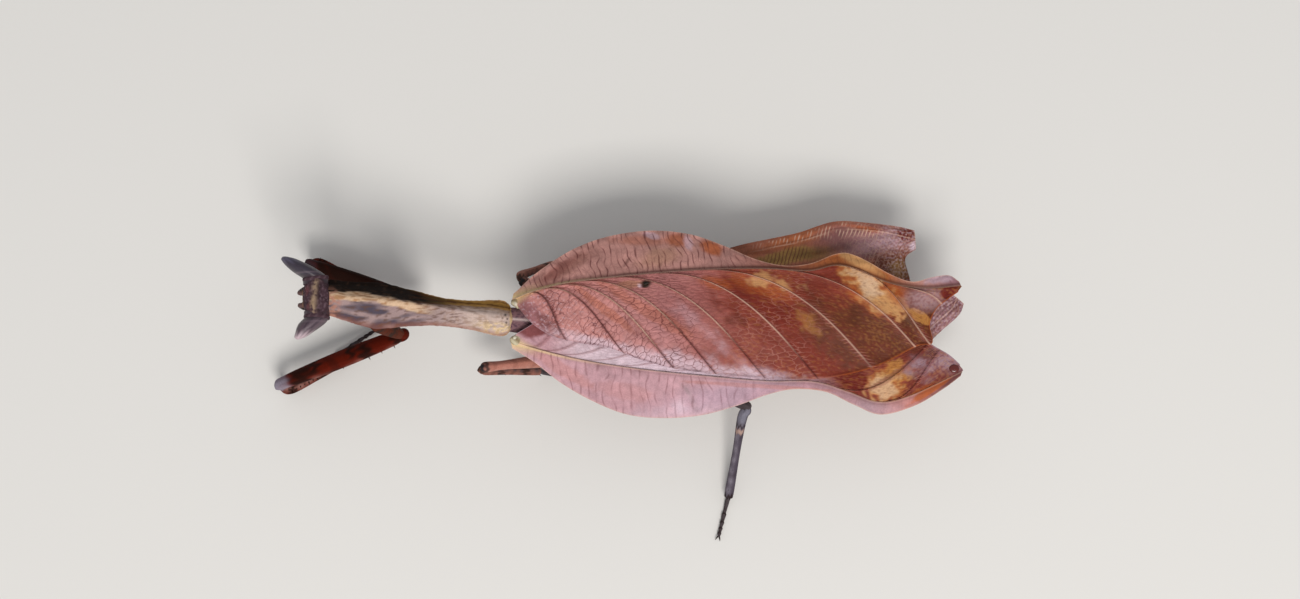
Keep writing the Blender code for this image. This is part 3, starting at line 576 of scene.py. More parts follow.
def leaf_z(x, y, level):
    """Height of a wing's upper face, as in the solids. Level 1 is the upper forewing, -1 a hindwing."""
    ridge = table(RIDGE_SIDE, x)
    beyond = np.maximum(0.0, np.abs(y) - ridge)
    crown = CROWN * (1 - np.minimum(1.0, np.abs(y) / ridge) ** 2) * smoothstep(0.0, 4.0, x)
    steep = np.minimum(beyond, HIND_FALL_UNTIL) if level < 0 else beyond
    fall = COSTAL_FALL * steep + COSTAL_CURL * steep**2 + HIND_FALL_BEYOND * (beyond - steep)
    return table(LEAF_HEIGHT, x) + crown - fall + level * WING_STEP * smoothstep(-0.2, 1.2, x)


def wing_columns(radius, rear):
    """Shares of the radius and the rear margin for each column of the grid, how much it is a vein, and
    its place between two veins, 0 to 1."""
    lengths = [np.linalg.norm(np.diff(np.array(c), axis=0), axis=1).sum() for c in (radius, rear)]
    anchors = [(0.0, 0.0)]
    for leaves, meets in BRANCH_VEINS:
        anchors.append((float(share_at_x(radius, leaves)), float(share_at_x(rear, meets))))
    anchors.append((1.0, 1.0))
    columns = []
    for n in range(len(anchors) - 1):
        start, end = np.array(anchors[n]), np.array(anchors[n + 1])
        last = n + 2 == len(anchors)
        pad = VEIN_HALF_WIDTH / np.array(lengths)
        low = start + pad if n else start
        high = end if last else end - pad
        steps = max(6, int(np.max((high - low) * lengths) / COLUMN_STEP))
        for k in range(1 if n else 0, steps + 1):
            columns.append((*(low + (high - low) * k / steps), 0.0, k / steps))
        if not last:
            for offset, rise in VEIN_PROFILE[1:]:
                columns.append((*(end + offset * pad), rise, 0.0))
    return np.array(columns)


def bezier(a, b, c, d, t):
    s = 1 - t
    return a * s**3 + b * (3 * s * s * t) + c * (3 * s * t * t) + d * t**3


def forewing_grid(front, radius, rear, side):
    """x and y of the grid, row by row from the front margin over the radius to the rear margin. Each row
    has its share: -1 to 0 from the front margin to the radius and 0 to 1 on to the rear margin."""
    columns = wing_columns(radius, rear)
    on_radius, on_rear = columns[:, 0], columns[:, 1]
    root = through(radius, on_radius)
    heading = through(radius, on_radius + 0.01) - through(radius, on_radius - 0.01)
    heading /= np.linalg.norm(heading, axis=1)[:, None]
    edge = through(front, share_at_x(front, root[:, 0]))
    edge[0], edge[-1] = front[0], front[-1]
    end = through(rear, on_rear)
    reach = np.linalg.norm(end - root, axis=1)[:, None]
    leave = root + heading * VEIN_LEAVE * reach
    way = np.array([math.cos(VEIN_ANGLE), -side * math.sin(VEIN_ANGLE)])
    arrive = end - way * VEIN_ARRIVE * reach
    costal_gap = np.maximum(0.05, np.linalg.norm(edge - root, axis=1)[:, None])
    foot = np.minimum(0.45, VEIN_HALF_WIDTH / costal_gap)
    rows, shares, lifts = [], [], []
    for k in range(COSTAL_ROWS):
        part = k / COSTAL_ROWS
        rows.append(edge + (root - edge) * (1 - foot) * part)
        shares.append(part - 1)
        lifts.append(0.0)
    for offset, rise in VEIN_PROFILE[:3]:
        rows.append(root + (edge - root) * foot * -offset)
        shares.append(offset * 0.01)
        lifts.append(rise)
    start = np.minimum(0.08, VEIN_HALF_WIDTH / np.maximum(0.05, reach))
    for offset, rise in VEIN_PROFILE[3:]:
        rows.append(bezier(root, leave, arrive, end, start * offset))
        shares.append(offset * 0.01)
        lifts.append(rise)
    for k in range(1, FIELD_ROWS + 1):
        part = k / FIELD_ROWS
        part -= END_CROWDING * math.sin(2 * math.pi * part)
        rows.append(bezier(root, leave, arrive, end, start + (1 - start) * part))
        shares.append(0.01 + 0.99 * part)
        lifts.append(0.0)
    return np.array(rows), np.array(shares)[:, None], np.array(lifts)[:, None], columns, root


def plate(xy, top, under, name, values):
    """A closed thin sheet between the two heights over a grid of x and y."""
    rows, columns = top.shape
    flat = xy.reshape(-1, 2)
    points = np.vstack([np.column_stack([flat, top.ravel()]), np.column_stack([flat, under.ravel()])])
    below = rows * columns
    index = np.arange(rows * columns).reshape(rows, columns)
    a, b = index[:-1, :-1].ravel(), index[:-1, 1:].ravel()
    c, d = index[1:, 1:].ravel(), index[1:, :-1].ravel()
    faces = np.vstack([np.column_stack([a, b, c, d]), np.column_stack([d, c, b, a]) + below])
    rim = np.concatenate([index[0, :], index[1:, -1], index[-1, -2::-1], index[-2:0:-1, 0]])
    after = np.roll(rim, -1)
    sides = np.column_stack([rim, after, after + below, rim + below])
    doubled = {}
    for key, value in values.items():
        value = value.reshape(below, -1).squeeze()
        doubled[key] = np.concatenate([value, value])
    return mesh_from(name, points, np.vstack([faces, sides]).tolist(), doubled)


def gradient(stops, x):
    """Colours between (x, colour) stops."""
    places = [stop[0] for stop in stops]
    return np.stack([np.interp(x, places, [stop[1][k] for stop in stops]) for k in range(3)], axis=-1)


def oval(points, wobble, x, y, half_long, half_wide, turn, soft=0.3, ragged=0.3):
    """How much each point lies in an uneven oval, 0 to 1."""
    c, s = math.cos(math.radians(turn)), math.sin(math.radians(turn))
    dx, dy = points[:, 0] - x, points[:, 1] - y
    far = np.hypot((dx * c + dy * s) / half_long, (dy * c - dx * s) / half_wide)
    return smoothstep(1 + soft, 1 - soft, far + ragged * wobble)


def paint(points, wobble, tones, patches):
    """Uneven patches laid over the colours, in order."""
    for colour, strength, *place in patches:
        tones = mix(tones, colour, strength * oval(points, wobble, *place))
    return tones


# Patches: colour, strength, middle x and y, half length, half width, turn, and where they differ from the
# usual ones, softness and raggedness of the edge
RIGHT_FIELD = [
    (srgb(150, 86, 80), 0.4, 13.5, 1.6, 6.0, 1.7, -12),
    (srgb(112, 72, 84), 0.65, 1.2, 0.3, 1.9, 0.8, -50, 0.6),
    (LEAF_RED, 0.9, 20.5, 1.2, 6.5, 3.0, -25),
    (DEEP_RED, 0.5, 18.6, 1.7, 3.4, 0.9, -28),
    (LEAF_BROWN, 0.9, 26.2, -0.9, 5.2, 2.2, -28),
    # A dark brown patch near the tip: painted shadow.
    (srgb(88, 48, 28), 0.5, 27.0, 0.0, 3.0, 1.0, -25, 0.5),
    (srgb(84, 52, 30), 0.7, 29.4, 0.9, 1.4, 0.4, -22, 0.5),
    (ORANGE, 0.45, 18.6, 2.9, 2.6, 0.8, -18),
    (TAN, 0.7, 19.25, 3.25, 1.5, 0.6, -12, 0.3, 0.9),
    (ORANGE, 0.4, 6.6, 0.9, 3.2, 0.35, -36),
    (ORANGE, 0.35, 10.2, 0.6, 4.2, 0.5, -30),
    (ORANGE, 0.5, 15.0, 3.0, 1.3, 0.5, -15),
    (GOLD, 0.4, 21.9, 0.36, 0.9, 0.5, -40, 0.5, 1.1),
    (LEAF_RED, 0.9, 23.9, 3.5, 1.5, 1.2, -20),
    (BLOTCH_EDGE, 0.9, 26.2, 3.6, 1.9, 1.4, -45, 0.12, 0.5),
    (BLOTCH_EDGE, 0.9, 27.5, 2.2, 2.0, 1.3, -38, 0.12, 0.5),
    (TAN, 0.8, 26.5, 3.4, 1.5, 1.1, -45, 0.2, 0.9),
    (TAN, 0.75, 27.6, 2.2, 1.7, 0.95, -38, 0.2, 0.9),
    (BLOTCH_CREAM, 0.75, 26.6, 3.4, 1.2, 0.7, -45, 0.5, 1.2),
    (ORANGE, 0.6, 25.5, 2.6, 0.7, 0.5, -45, 0.6),
    (ORANGE, 0.6, 28.9, 2.6, 1.0, 0.7, -38, 0.5),
    (GOLD, 0.9, 30.6, 0.95, 1.0, 0.42, -28, 0.12),
    (srgb(158, 124, 126), 0.85, 31.1, 2.4, 1.5, 0.8, 5, 0.6),
    (DEEP_RED, 0.95, 32.9, 3.0, 0.9, 0.5, 28, 0.15),
    (PURPLE_BROWN, 0.5, 2.6, -0.7, 1.6, 0.5, -45),
    # The next two lilac-pink patches are painted sheen.
    (srgb(196, 152, 158), 0.5, 13.9, -0.3, 1.5, 0.4, -38, 0.8, 0.9),
    (srgb(196, 152, 158), 0.35, 17.2, -2.9, 1.8, 0.4, -34, 0.8, 0.9),
    (PURPLE_BROWN, 0.35, 9.5, -0.9, 1.6, 0.5, -35),
    (DARK_BROWN, 0.3, 16.6, 0.25, 0.8, 0.45, 0),
    (OLIVE, 0.35, 8.6, 2.75, 1.1, 0.3, 6),
    (BLACK_GREEN, 1.0, 9.75, 2.8, 0.42, 0.3, 20, 0.12),
    # A tiny white speck on the black-green spot: painted highlight.
    (SHEEN_WHITE, 0.8, 9.28, 2.66, 0.1, 0.18, 10, 0.3),
]
RIGHT_SHEEN = [
    (11.8, -3.0, 5.0, 0.62, -9), (16.4, -3.65, 4.6, 0.45, -4), (6.4, -1.75, 3.4, 0.35, -12),
]
RIGHT_LOBE = [
    (srgb(120, 74, 62), 0.6, 3.5, 3.9, 2.4, 0.6, 35, 0.6),
    (ORANGE, 0.8, 14.7, 5.8, 0.8, 0.55, -30, 0.4),
    (ORANGE, 0.7, 12.1, 6.4, 0.8, 0.5, -10, 0.5),
    (ORANGE, 0.4, 9.2, 6.3, 1.8, 0.35, 0, 0.6),
    (LILAC, 0.6, 10.1, 6.75, 0.55, 0.22, -15, 0.4),
    (LILAC, 0.55, 12.9, 6.2, 0.3, 0.6, 15, 0.4),
    (OLIVE, 0.3, 10.7, 4.9, 1.5, 0.7, 15, 0.5),
    (DARK_BROWN, 0.5, 8.3, 4.55, 0.12, 0.42, -30, 0.4),
    (DARK_BROWN, 0.35, 10.8, 4.3, 0.12, 0.3, -30, 0.4),
    (CRIMSON, 0.3, 3.2, 3.9, 1.6, 0.4, 40),
    (TAN, 0.75, 26.0, 5.0, 1.6, 0.5, -30, 0.5),
    (srgb(168, 142, 152), 0.8, 32.2, 3.95, 1.4, 0.45, 10),
]
LEFT_FIELD = [
    (CRIMSON, 0.85, 1.6, -0.6, 1.2, 0.65, 15),
    (srgb(122, 56, 44), 0.9, 29.5, -2.8, 4.0, 2.4, 0),
    (DEEP_RED, 0.9, 25.6, -3.9, 1.9, 0.8, -14, 0.3),
    (BLOTCH_EDGE, 0.95, 28.3, -4.0, 1.75, 1.4, -20, 0.12, 0.5),
    (GOLD, 0.8, 28.8, -3.5, 1.4, 1.0, 10, 0.2, 0.8),
    (TAN, 0.7, 28.1, -4.1, 1.3, 0.95, -20, 0.3, 1.0),
    (BLOTCH_CREAM, 0.5, 28.0, -4.3, 0.9, 0.6, -20, 0.5, 1.2),
    (srgb(128, 76, 50), 0.6, 28.2, -3.7, 1.3, 0.14, 35, 0.6),
    (ORANGE, 0.6, 30.2, -2.7, 0.8, 0.5, 20),
    (srgb(118, 74, 74), 0.85, 31.8, -2.5, 1.7, 1.05, 15, 0.5),
    (srgb(156, 128, 138), 0.85, 32.4, -2.4, 1.9, 0.95, 20, 0.7, 0.8),
    (ORANGE, 0.6, 30.9, -4.6, 1.2, 0.25, 28, 0.3),
    (LEAF_BROWN, 0.7, 31.0, -1.6, 1.2, 0.5, -20),
]
LEFT_LOBE = [
    (SHEEN_WHITE, 0.3, 13.0, -6.6, 4.2, 0.5, 5, 0.8),
    (srgb(176, 148, 164), 0.6, 16.0, -5.3, 4.5, 0.9, 12, 0.8),
    (SHEEN_WHITE, 0.35, 12.5, -6.2, 0.5, 0.6, 30, 0.7),
    (BARK_GREY * 1.3, 0.3, 13.4, -5.6, 0.2, 0.9, 25, 0.7),
    (BARK_GREY, 0.4, 12.9, -4.9, 0.5, 0.12, -50, 0.4),
    (DUSTY_PINK, 0.5, 3.5, -3.6, 2.5, 0.5, -30),
    (DUSTY_PINK, 0.3, 8.5, -5.2, 2.0, 0.6, -10),
    (ORANGE, 0.3, 18.5, -4.6, 6.0, 0.16, -2),
    (LILAC, 0.25, 27.0, -6.1, 3.0, 0.45, 0, 0.8),
    (ORANGE, 0.85, 31.6, -4.5, 2.2, 0.3, 35, 0.3),
]
RIGHT_LOOK = {
    "field": [(0, DUSTY_PINK), (6, DUSTY_PINK), (11, srgb(174, 119, 118)), (16, srgb(138, 74, 66)),
        (21, LEAF_RED), (24, LEAF_RED),
              (30, LEAF_BROWN)],
    "lobe": [(0, BROWN_PINK), (13, BROWN_PINK), (16, BROWN_PINK * 0.75), (20, srgb(130, 78, 64)),
        (24, BLOTCH_EDGE),
             (28, BLOTCH_EDGE * 0.9), (31, BROWN_PINK * 0.9), (33, BLOOM_GREY)],
    "rear rim": [(0, LILAC * 0.8), (20, LILAC * 0.7), (25, ORANGE * 1.2), (32, ORANGE)],
    "field patches": RIGHT_FIELD, "lobe patches": RIGHT_LOBE, "sheen": RIGHT_SHEEN, "lean": -0.3,
    "radius shade": 0.6, "rung strength": 0.85, "rung scale": 1.2, "vein strength": 0.7,
    "settle": REAR_SETTLE,
    "dark from": (-0.1, 0.3, 0.8, 0.62, 0.72, 0.8, 0.97, 1.2, 1.2, 1.2), "seed": 11.0,
    "ridge": RADIUS_RISE, "veined from": -2.0,
}
LEFT_LOOK = {
    # The left field's pale lilac to white from x 5 to 20 is painted sheen.
    "field": [(0, PALE_PINK), (2.5, PALE_PINK), (5, srgb(206, 182, 190)), (14, SHEEN_WHITE),
        (20, LILAC * 0.9), (25, LEAF_RED),
              (34, PURPLE_BROWN)],
    "lobe": [(0, PALE_PINK), (17, PALE_PINK * 0.92), (22, srgb(164, 124, 132)), (27, srgb(152, 116, 120)),
        (30, DUSTY_PINK * 0.9),
             (33, PURPLE_BROWN)],
    "rear rim": [(0, LILAC), (34, LILAC * 0.6)],
    "field patches": LEFT_FIELD, "lobe patches": LEFT_LOBE, "sheen": [], "lean": 0.1,
    "radius shade": 0.2, "rung strength": 0.45, "rung scale": 0.9, "vein strength": 0.2, "settle": 0.0,
    "dark from": (0.0, 1.2, 1.2, 1.2, 1.2, 1.2, 1.2, 1.2, 0.1, 0.1), "seed": 23.0,
    "ridge": 0.08, "veined from": 22.0,
}


def forewing(name, front, radius, rear, side, level, look):
    """A leaf wing: raised veins, pleats between them, puckered lobe, and its painted tones and masks."""
    xy, share, lift, columns, root = forewing_grid(front, radius, rear, side)
    on_vein, between = columns[:, 2][None, :], columns[:, 3][None, :]
    rows, count = xy.shape[:2]
    ones = np.ones((rows, count))
    seed = look["seed"]
    x, y = xy[..., 0], xy[..., 1]
    flat = np.column_stack([x.ravel(), y.ravel(), np.zeros(rows * count)])

    def grained(scale, shift):
        return rough_noise(flat, scale, seed + shift).reshape(rows, count)

    arc = np.vstack([np.zeros((1, count)), np.cumsum(np.linalg.norm(np.diff(xy, axis=0), axis=2), axis=0)])
    across = np.hstack([np.zeros((rows, 1)), np.cumsum(np.linalg.norm(np.diff(xy, axis=1), axis=2), axis=1)])
    radius_row = COSTAL_ROWS + 2
    from_radius = np.abs(arc - arc[radius_row])
    to_margin = np.minimum(arc, arc[-1] - arc)
    vein_at = np.flatnonzero(on_vein[0] == 1.0)
    gaps = np.abs(across[:, :, None] - across[:, vein_at][:, None, :])
    from_vein, nearest = gaps.min(axis=2), gaps.argmin(axis=2)
    field, lobe = share >= 0, share < 0
    from_hinge = root[:, 0][None, :] - root[0, 0]
    past_root = smoothstep(0.0, 1.5, from_hinge) * ones
    basal = (1 - smoothstep(11, 19, x)) if side > 0 else 0.4 * ones

    clouds, wrinkles, grit = grained(2.6, 0), grained(0.9, 5), grained(0.35, 9)
    base = leaf_z(x.ravel(), y.ravel(), level).reshape(rows, count)
    tip_fade = smoothstep(0.0, 1.5, root[-1, 0] - root[:, 0])[None, :]
    radius_lift = (
        lift * look["ridge"] * (0.3 + 0.7 * past_root * tip_fade) * (1 - 0.5 * smoothstep(12, 28, x))
    )
    lean_x = x - look["lean"] * from_radius + 0.45 * grained(1.5, 2) + 0.16 * wrinkles + 0.03 * grit
    stretch = RUNG_SPACING / FIELD_RUNG_SPACING
    veined = smoothstep(look["veined from"], look["veined from"] + 2, x)
    along = np.where(lobe, lean_x * look["rung scale"], (from_radius + 0.12 * wrinkles) * stretch)
    strip = np.cumsum(on_vein[0] == 1.0)
    strip_start = np.concatenate([[0], vein_at])[strip]
    in_strip = across - across[:, strip_start] + 5.3 * strip[None, :]
    patchy = smoothstep(-0.35, 0.25, grained(0.8, 13))
    pucker = -0.016 * np.cos(2 * math.pi * along / RUNG_SPACING) * patchy
    pucker *= np.where(lobe, smoothstep(0.15, 0.5, from_radius), 0.6 * smoothstep(0.7, 0.2, from_vein))
    pleat = (
        -0.12 * np.sin(math.pi * between) * smoothstep(0.2, 2.0, from_radius) * field * (0.2 + 0.8 * veined)
    )
    ruffle = 0.1 * np.sin(3.1 * x + 0.7 * np.sin(x)) * smoothstep(0.45, 1.0, -share) * lobe
    relief = (
        (0.07 * clouds + 0.035 * wrinkles + (0.01 + 0.006 * basal) * grit + pleat + pucker + ruffle)
        * past_root
    )
    branch_lift = (
        on_vein * smoothstep(0.0, 0.5, from_radius) * (share > 0.012) * BRANCH_RISE * (1 - 0.4 * share)
        * veined
    )
    body = base + relief * smoothstep(0.0, 0.3, to_margin) - look["settle"] * smoothstep(0.62, 1.0, share)
    top = body + radius_lift + branch_lift * smoothstep(0.0, 0.25, arc[-1] - arc)
    under = body - (SKIN_EDGE + (SKIN_THICK - SKIN_EDGE) * smoothstep(0.0, 0.6, to_margin) * past_root)

    wobble = (clouds + 0.7 * wrinkles + 0.7 * grit).ravel()
    tones = np.where(
        (field * ones).astype(bool).ravel()[:, None],
        paint(flat, wobble, gradient(look["field"], x.ravel()), look["field patches"]),
        paint(flat, wobble, gradient(look["lobe"], x.ravel()), look["lobe patches"]),
    ).reshape(rows, count, 3)
    sheen = np.zeros(rows * count)
    for place in look["sheen"]:
        sheen = np.maximum(sheen, oval(flat, wobble, *place, 0.8, 0.7))
    sheen = sheen.reshape(rows, count) * field
    tones = mix(tones, SHEEN_WHITE, 0.62 * sheen)
    tones *= (1 + 0.14 * clouds + 0.14 * wrinkles + 0.12 * grit)[..., None]
    flecks = grained(0.2, 21)
    distal = (0.25 + 0.75 * smoothstep(14, 19, x)) * field
    tones = mix(tones, LEAF_RED * 0.8, 0.4 * smoothstep(0.1, 0.45, flecks + 0.5 * wrinkles) * distal)
    tones = mix(tones, GOLD, 0.22 * smoothstep(0.15, 0.5, -flecks + 0.5 * clouds) * distal)
    if side > 0:
        # Small white specks near the right wing's hinge: painted glints of light on its crumpled skin.
        painted_glints = (
            smoothstep(0.2, 0.4, grained(0.16, 27)) * smoothstep(3.0, 1.0, from_hinge)
            * smoothstep(0.5, 0.9, from_radius)
        )
        tones = mix(tones, SHEEN_WHITE, 0.3 * painted_glints * field)
    tones = mix(tones, LEAF_BROWN * 0.7, look["radius shade"] * smoothstep(0.5, 0.05, from_radius) * lobe)
    beside = np.exp(-(((from_radius - 0.2) / 0.06) ** 2)) * smoothstep(5, 9, x)
    tones = mix(tones, DARK_BROWN, 0.75 * look["radius shade"] * beside)
    tones = mix(tones, CRIMSON, 0.35 * smoothstep(0.35, 0.1, from_vein) * field)
    tones = mix(tones, gradient(look["rear rim"], x), 0.6 * smoothstep(0.13, 0.04, arc[-1] - arc))
    tones = mix(tones, CREAM, 0.35 * smoothstep(0.1, 0.03, arc))
    gilt = smoothstep(8.0, 1.5, from_hinge) * smoothstep(0.26, 0.12, from_radius)
    tones = mix(tones, HINGE_CREAM, 0.7 * gilt)
    hinge = smoothstep(2.6, 0.2, from_hinge) * smoothstep(0.9, 0.1, from_radius)
    tones = mix(tones, HINGE_CREAM, 0.85 * hinge)

    line = smoothstep(0.1, 0.03, from_vein) * (share > 0.012) * veined
    dark_share = np.take(look["dark from"], nearest)
    darker = smoothstep(dark_share - 0.12, dark_share + 0.12, share)
    ridge = lift * (0.85 - 0.5 * smoothstep(5, 14, x))
    groove = 0.65 * (lift > 0.9) * smoothstep(0.6, 1.6, x) * smoothstep(22, 16, x) * (side < 0)
    netted = (
        past_root * (0.4 + 0.6 * smoothstep(-0.5, 0.3, grained(1.7, 17))) * (1 - 0.7 * smoothstep(21, 25, x))
    )
    netted *= 0.25 + 0.75 * veined
    rungs = np.where(lobe, look["rung strength"] * (1 - 0.65 * smoothstep(15, 19, x)), 0.45 * basal)
    values = {
        "tone": tones,
        "pale_vein": np.clip(line * (1 - darker) * (0.9 - 0.3 * smoothstep(17, 24, x)) + ridge, 0, 1),
        "dark_vein": np.maximum(line * darker * look["vein strength"], groove),
        "dark_net": netted * np.where(field, 0.65 * basal + 0.2 * sheen + 0.2, 0.25),
        "pale_net": netted**2 * np.where(field, 0.42 * (1 - basal), 0.0),
        "dark_rungs": rungs * np.maximum(patchy, 0.25 * lobe) * past_root,
        "pale_rungs": 0.55 * patchy * smoothstep(0.6, 0.2, from_vein) * field * smoothstep(6, 10, x),
        "crumple": np.where(field, 0.35 + 0.65 * basal, 0.35) * past_root,
        "along": along,
        "across": np.where(lobe, from_radius * 0.6, in_strip),
    }
    return plate(xy, top, under, name, values)


RIGHT_HIND_FRONT = [
    (4.6, 2.3), (8.0, 3.4), (12.0, 4.7), (16.5, 6.2), (19.2, 6.9), (21.5, 7.5), (24.2, 8.45),
    (26.9, 8.45), (29.2, 8.25), (30.5, 8.0),
]
RIGHT_HIND_INNER = [
    (4.3, 1.3), (8.0, 0.4), (14.0, 0.25), (20.0, 0.25), (26.0, 0.3), (28.6, 0.5), (29.9, 1.6),
    (30.1, 3.6), (29.7, 5.6), (30.6, 6.5),
]
LEFT_HIND_FRONT = [
    (4.6, -2.3), (8.0, -3.0), (14.0, -3.8), (20.0, -4.0), (26.0, -3.7), (30.0, -2.2), (32.4, 0.0),
    (33.9, 1.4), (34.3, 2.3),
]
LEFT_HIND_INNER = [
    (4.3, -1.3), (8.0, -0.4), (14.0, -0.2), (20.0, -0.2), (27.0, -0.2), (29.5, 0.0), (30.7, 1.2),
    (31.8, 2.6), (33.2, 3.1),
]
HIND_COLUMNS = 240
HIND_ROWS = 90
HIND_PLEATS = 9
HIND_PLEAT_DEPTH = 0.05
HIND_RUNG_SPACING = 0.3
RIGHT_HIND = {
    "patches": [
        (OLIVE, 0.95, 20.4, 5.5, 2.4, 0.7, 14, 0.3),
        (OLIVE * 0.8, 0.7, 23.2, 5.9, 1.6, 0.5, 14, 0.6),
        (srgb(164, 94, 60), 0.85, 21.5, 7.0, 4.0, 0.45, 20, 0.5),
        (srgb(146, 100, 100), 0.85, 26.0, 6.9, 2.8, 1.3, 0, 0.6),
        (LILAC * 0.7, 0.4, 27.2, 6.6, 1.4, 0.8, 0, 0.8),
        (ORANGE, 0.7, 27.0, 7.9, 1.6, 0.2, -8, 0.6),
        (srgb(166, 134, 142), 0.8, 29.0, 7.2, 1.5, 0.8, 0, 0.7),
        (DEEP_RED, 0.95, 29.8, 7.6, 0.85, 0.65, 0, 0.4),
        (LEAF_BROWN, 0.9, 28.4, 4.9, 1.6, 1.3, 0, 0.6),
        (OLIVE, 0.7, 29.2, 4.8, 0.7, 0.7, 0, 0.6),
        (SHEEN_WHITE, 0.9, 30.4, 6.7, 0.35, 0.35, -20, 0.4),
    ],
    "base": srgb(150, 92, 72), "seed": 31.0, "bare": 19.0,
}
LEFT_HIND = {
    "patches": [
        (BLOOM_GREY, 0.9, 32.6, 1.9, 2.4, 1.8, 40, 0.3), (PURPLE_BROWN, 0.6, 33.9, 1.6, 0.5, 0.9, 30, 0.4),
    ],
    "base": srgb(124, 84, 78), "seed": 41.0, "bare": 30.0,
}


def hindwing(name, front, inner, look):
    """A folded hindwing: fan pleats along its length, cross veins and a front edge rolled down."""
    share = np.linspace(0, 1, HIND_COLUMNS + 1)
    outer, inside = through(front, share), through(inner, share)
    part = np.linspace(0, 1, HIND_ROWS + 1)[:, None, None]
    xy = outer[None] * (1 - part) + inside[None] * part
    rows, count = xy.shape[:2]
    x, y = xy[..., 0], xy[..., 1]
    flat = np.column_stack([x.ravel(), y.ravel(), np.zeros(rows * count)])

    def grained(scale, shift):
        return rough_noise(flat, scale, look["seed"] + shift).reshape(rows, count)

    clouds, wrinkles, grit = grained(2.2, 0), grained(0.8, 3), grained(0.3, 6)
    across = part[..., 0] * np.ones((1, count))
    from_front = across * np.linalg.norm(inside - outer, axis=1)[None, :]
    to_end = np.linalg.norm(xy - xy[:, -1:], axis=2)
    fold = np.cos(2 * math.pi * HIND_PLEATS * across + 0.8 * wrinkles) * (1 - 0.6 * smoothstep(26.5, 29, x))
    shown = smoothstep(look["bare"] - 2, look["bare"] + 1, x)
    pleats = HIND_PLEAT_DEPTH * fold * smoothstep(0.0, 0.08, across) * (0.3 + 0.7 * shown)
    along = x + 0.3 * from_front + 0.08 * wrinkles
    ribs = 0.012 * np.cos(2 * math.pi * along / HIND_RUNG_SPACING) * shown
    roll = 0.2 * smoothstep(0.45, 0.0, from_front) * shown
    crumple = 0.07 * wrinkles * smoothstep(26, 30, x)
    base = leaf_z(x.ravel(), y.ravel(), -1).reshape(rows, count)
    top = base - 0.08 + pleats - roll + crumple + 0.05 * clouds + ribs
    edge = (
        np.minimum(smoothstep(0, 0.4, from_front), smoothstep(0, 0.06, 1 - across))
        * smoothstep(0, 0.4, to_end)
    )
    under = top - (SKIN_EDGE + 0.1 * edge)
    wobble = (clouds + 0.7 * wrinkles + 0.7 * grit).ravel()
    tones = paint(flat, wobble, look["base"], look["patches"]).reshape(rows, count, 3)
    tones = tones * (1 + 0.12 * clouds + 0.12 * wrinkles + 0.15 * grit - 0.1 * fold)[..., None]
    tones = mix(tones, CREAM, 0.55 * smoothstep(0.1, 0.02, np.minimum(to_end, (1 - across) * 6)))
    dust = grained(0.16, 12)
    tones = mix(tones, LILAC, 0.5 * smoothstep(0.0, 0.4, dust) * smoothstep(27, 29.5, x))
    tones = mix(tones, DEEP_RED, 0.35 * smoothstep(0.0, 0.4, -dust) * smoothstep(25, 28, x))
    patchy = smoothstep(-0.3, 0.2, grained(0.6, 9))
    band = 0.95 + 0.9 * smoothstep(22, 25, x)
    near_front = (
        smoothstep(band, 0.5 * band, from_front) * smoothstep(0.12, 0.25, from_front) * smoothstep(29, 27, x)
    )
    olive_bars = oval(flat, wobble, 20.2, 5.4, 2.0, 0.8, 14).reshape(rows, count)
    values = {
        "tone": tones,
        "pale_vein": 0.4 * smoothstep(0.06, 0.01, np.abs(from_front - 0.75)) * shown,
        "dark_vein": 0.4 * smoothstep(0.06, 0.01, np.abs(from_front - 0.62)) * shown,
        "dark_net": np.full(rows * count, 0.15),
        "pale_net": 0.25 * smoothstep(24, 26, x),
        "dark_rungs": np.maximum(0.8 * olive_bars, 0.2) * shown,
        "pale_rungs": shown * patchy * np.maximum(0.9 * near_front, 0.25 * smoothstep(23, 25, x)),
        "crumple": np.full(rows * count, 0.3),
        "along": along,
        "across": from_front,
    }
    return plate(xy, top, under, name, values)


# Each wing's hand, its margins and veins, and for a forewing its side and level, then its look
FOREWINGS = [
    ("right", RIGHT_FRONT, RIGHT_RADIUS, RIGHT_REAR, 1, 1, RIGHT_LOOK),
    ("left", LEFT_FRONT, LEFT_RADIUS, LEFT_REAR, -1, 0, LEFT_LOOK),
]
HINDWINGS = [
    ("right", RIGHT_HIND_FRONT, RIGHT_HIND_INNER, RIGHT_HIND),
    ("left", LEFT_HIND_FRONT, LEFT_HIND_INNER, LEFT_HIND),
]
# Middle of the glossy spot near the left forewing's tip
SPOT_X = 33.4
SPOT_Y = -2.85


def build_wings():
    leaf = wing_material("leaf_forewing", cell=0.5, line=0.045, rung_spacing=RUNG_SPACING)
    fan = wing_material("leaf_hindwing", cell=0.3, line=0.035, rung_spacing=HIND_RUNG_SPACING,
        pale_line=CREAM)
    for hand, *shape in FOREWINGS:
        name = "forewing_%s_leaf" % hand
        add_piece(name, forewing(name, *shape), leaf, ("forewing_" + hand,))
    for hand, *shape in HINDWINGS:
        name = "hindwing_%s_fan" % hand
        add_piece(name, hindwing(name, *shape), fan, ("hindwing_" + hand,))
    glossy = skin_material("wing_spot_gloss", roughness=0.18, cloud=0.1, grain=0.1, depth=0.004, coat=0.7)
    spot_z = float(leaf_z(np.array([SPOT_X]), np.array([SPOT_Y]), 0)[0])
    bead = limb([(SPOT_X, SPOT_Y, spot_z - 0.12), (SPOT_X, SPOT_Y, spot_z + 0.1)],
                [(0, 0.4, 0.33), (0.7, 0.38, 0.31), (1, 0.26, 0.22)], (0, 1, 0), plain(DEEP_RED * 0.8),
                rings=8, sides=24)
    add_piece("wing_spot_left", union("wing_spot_left", [bead]), glossy)


# Trunk

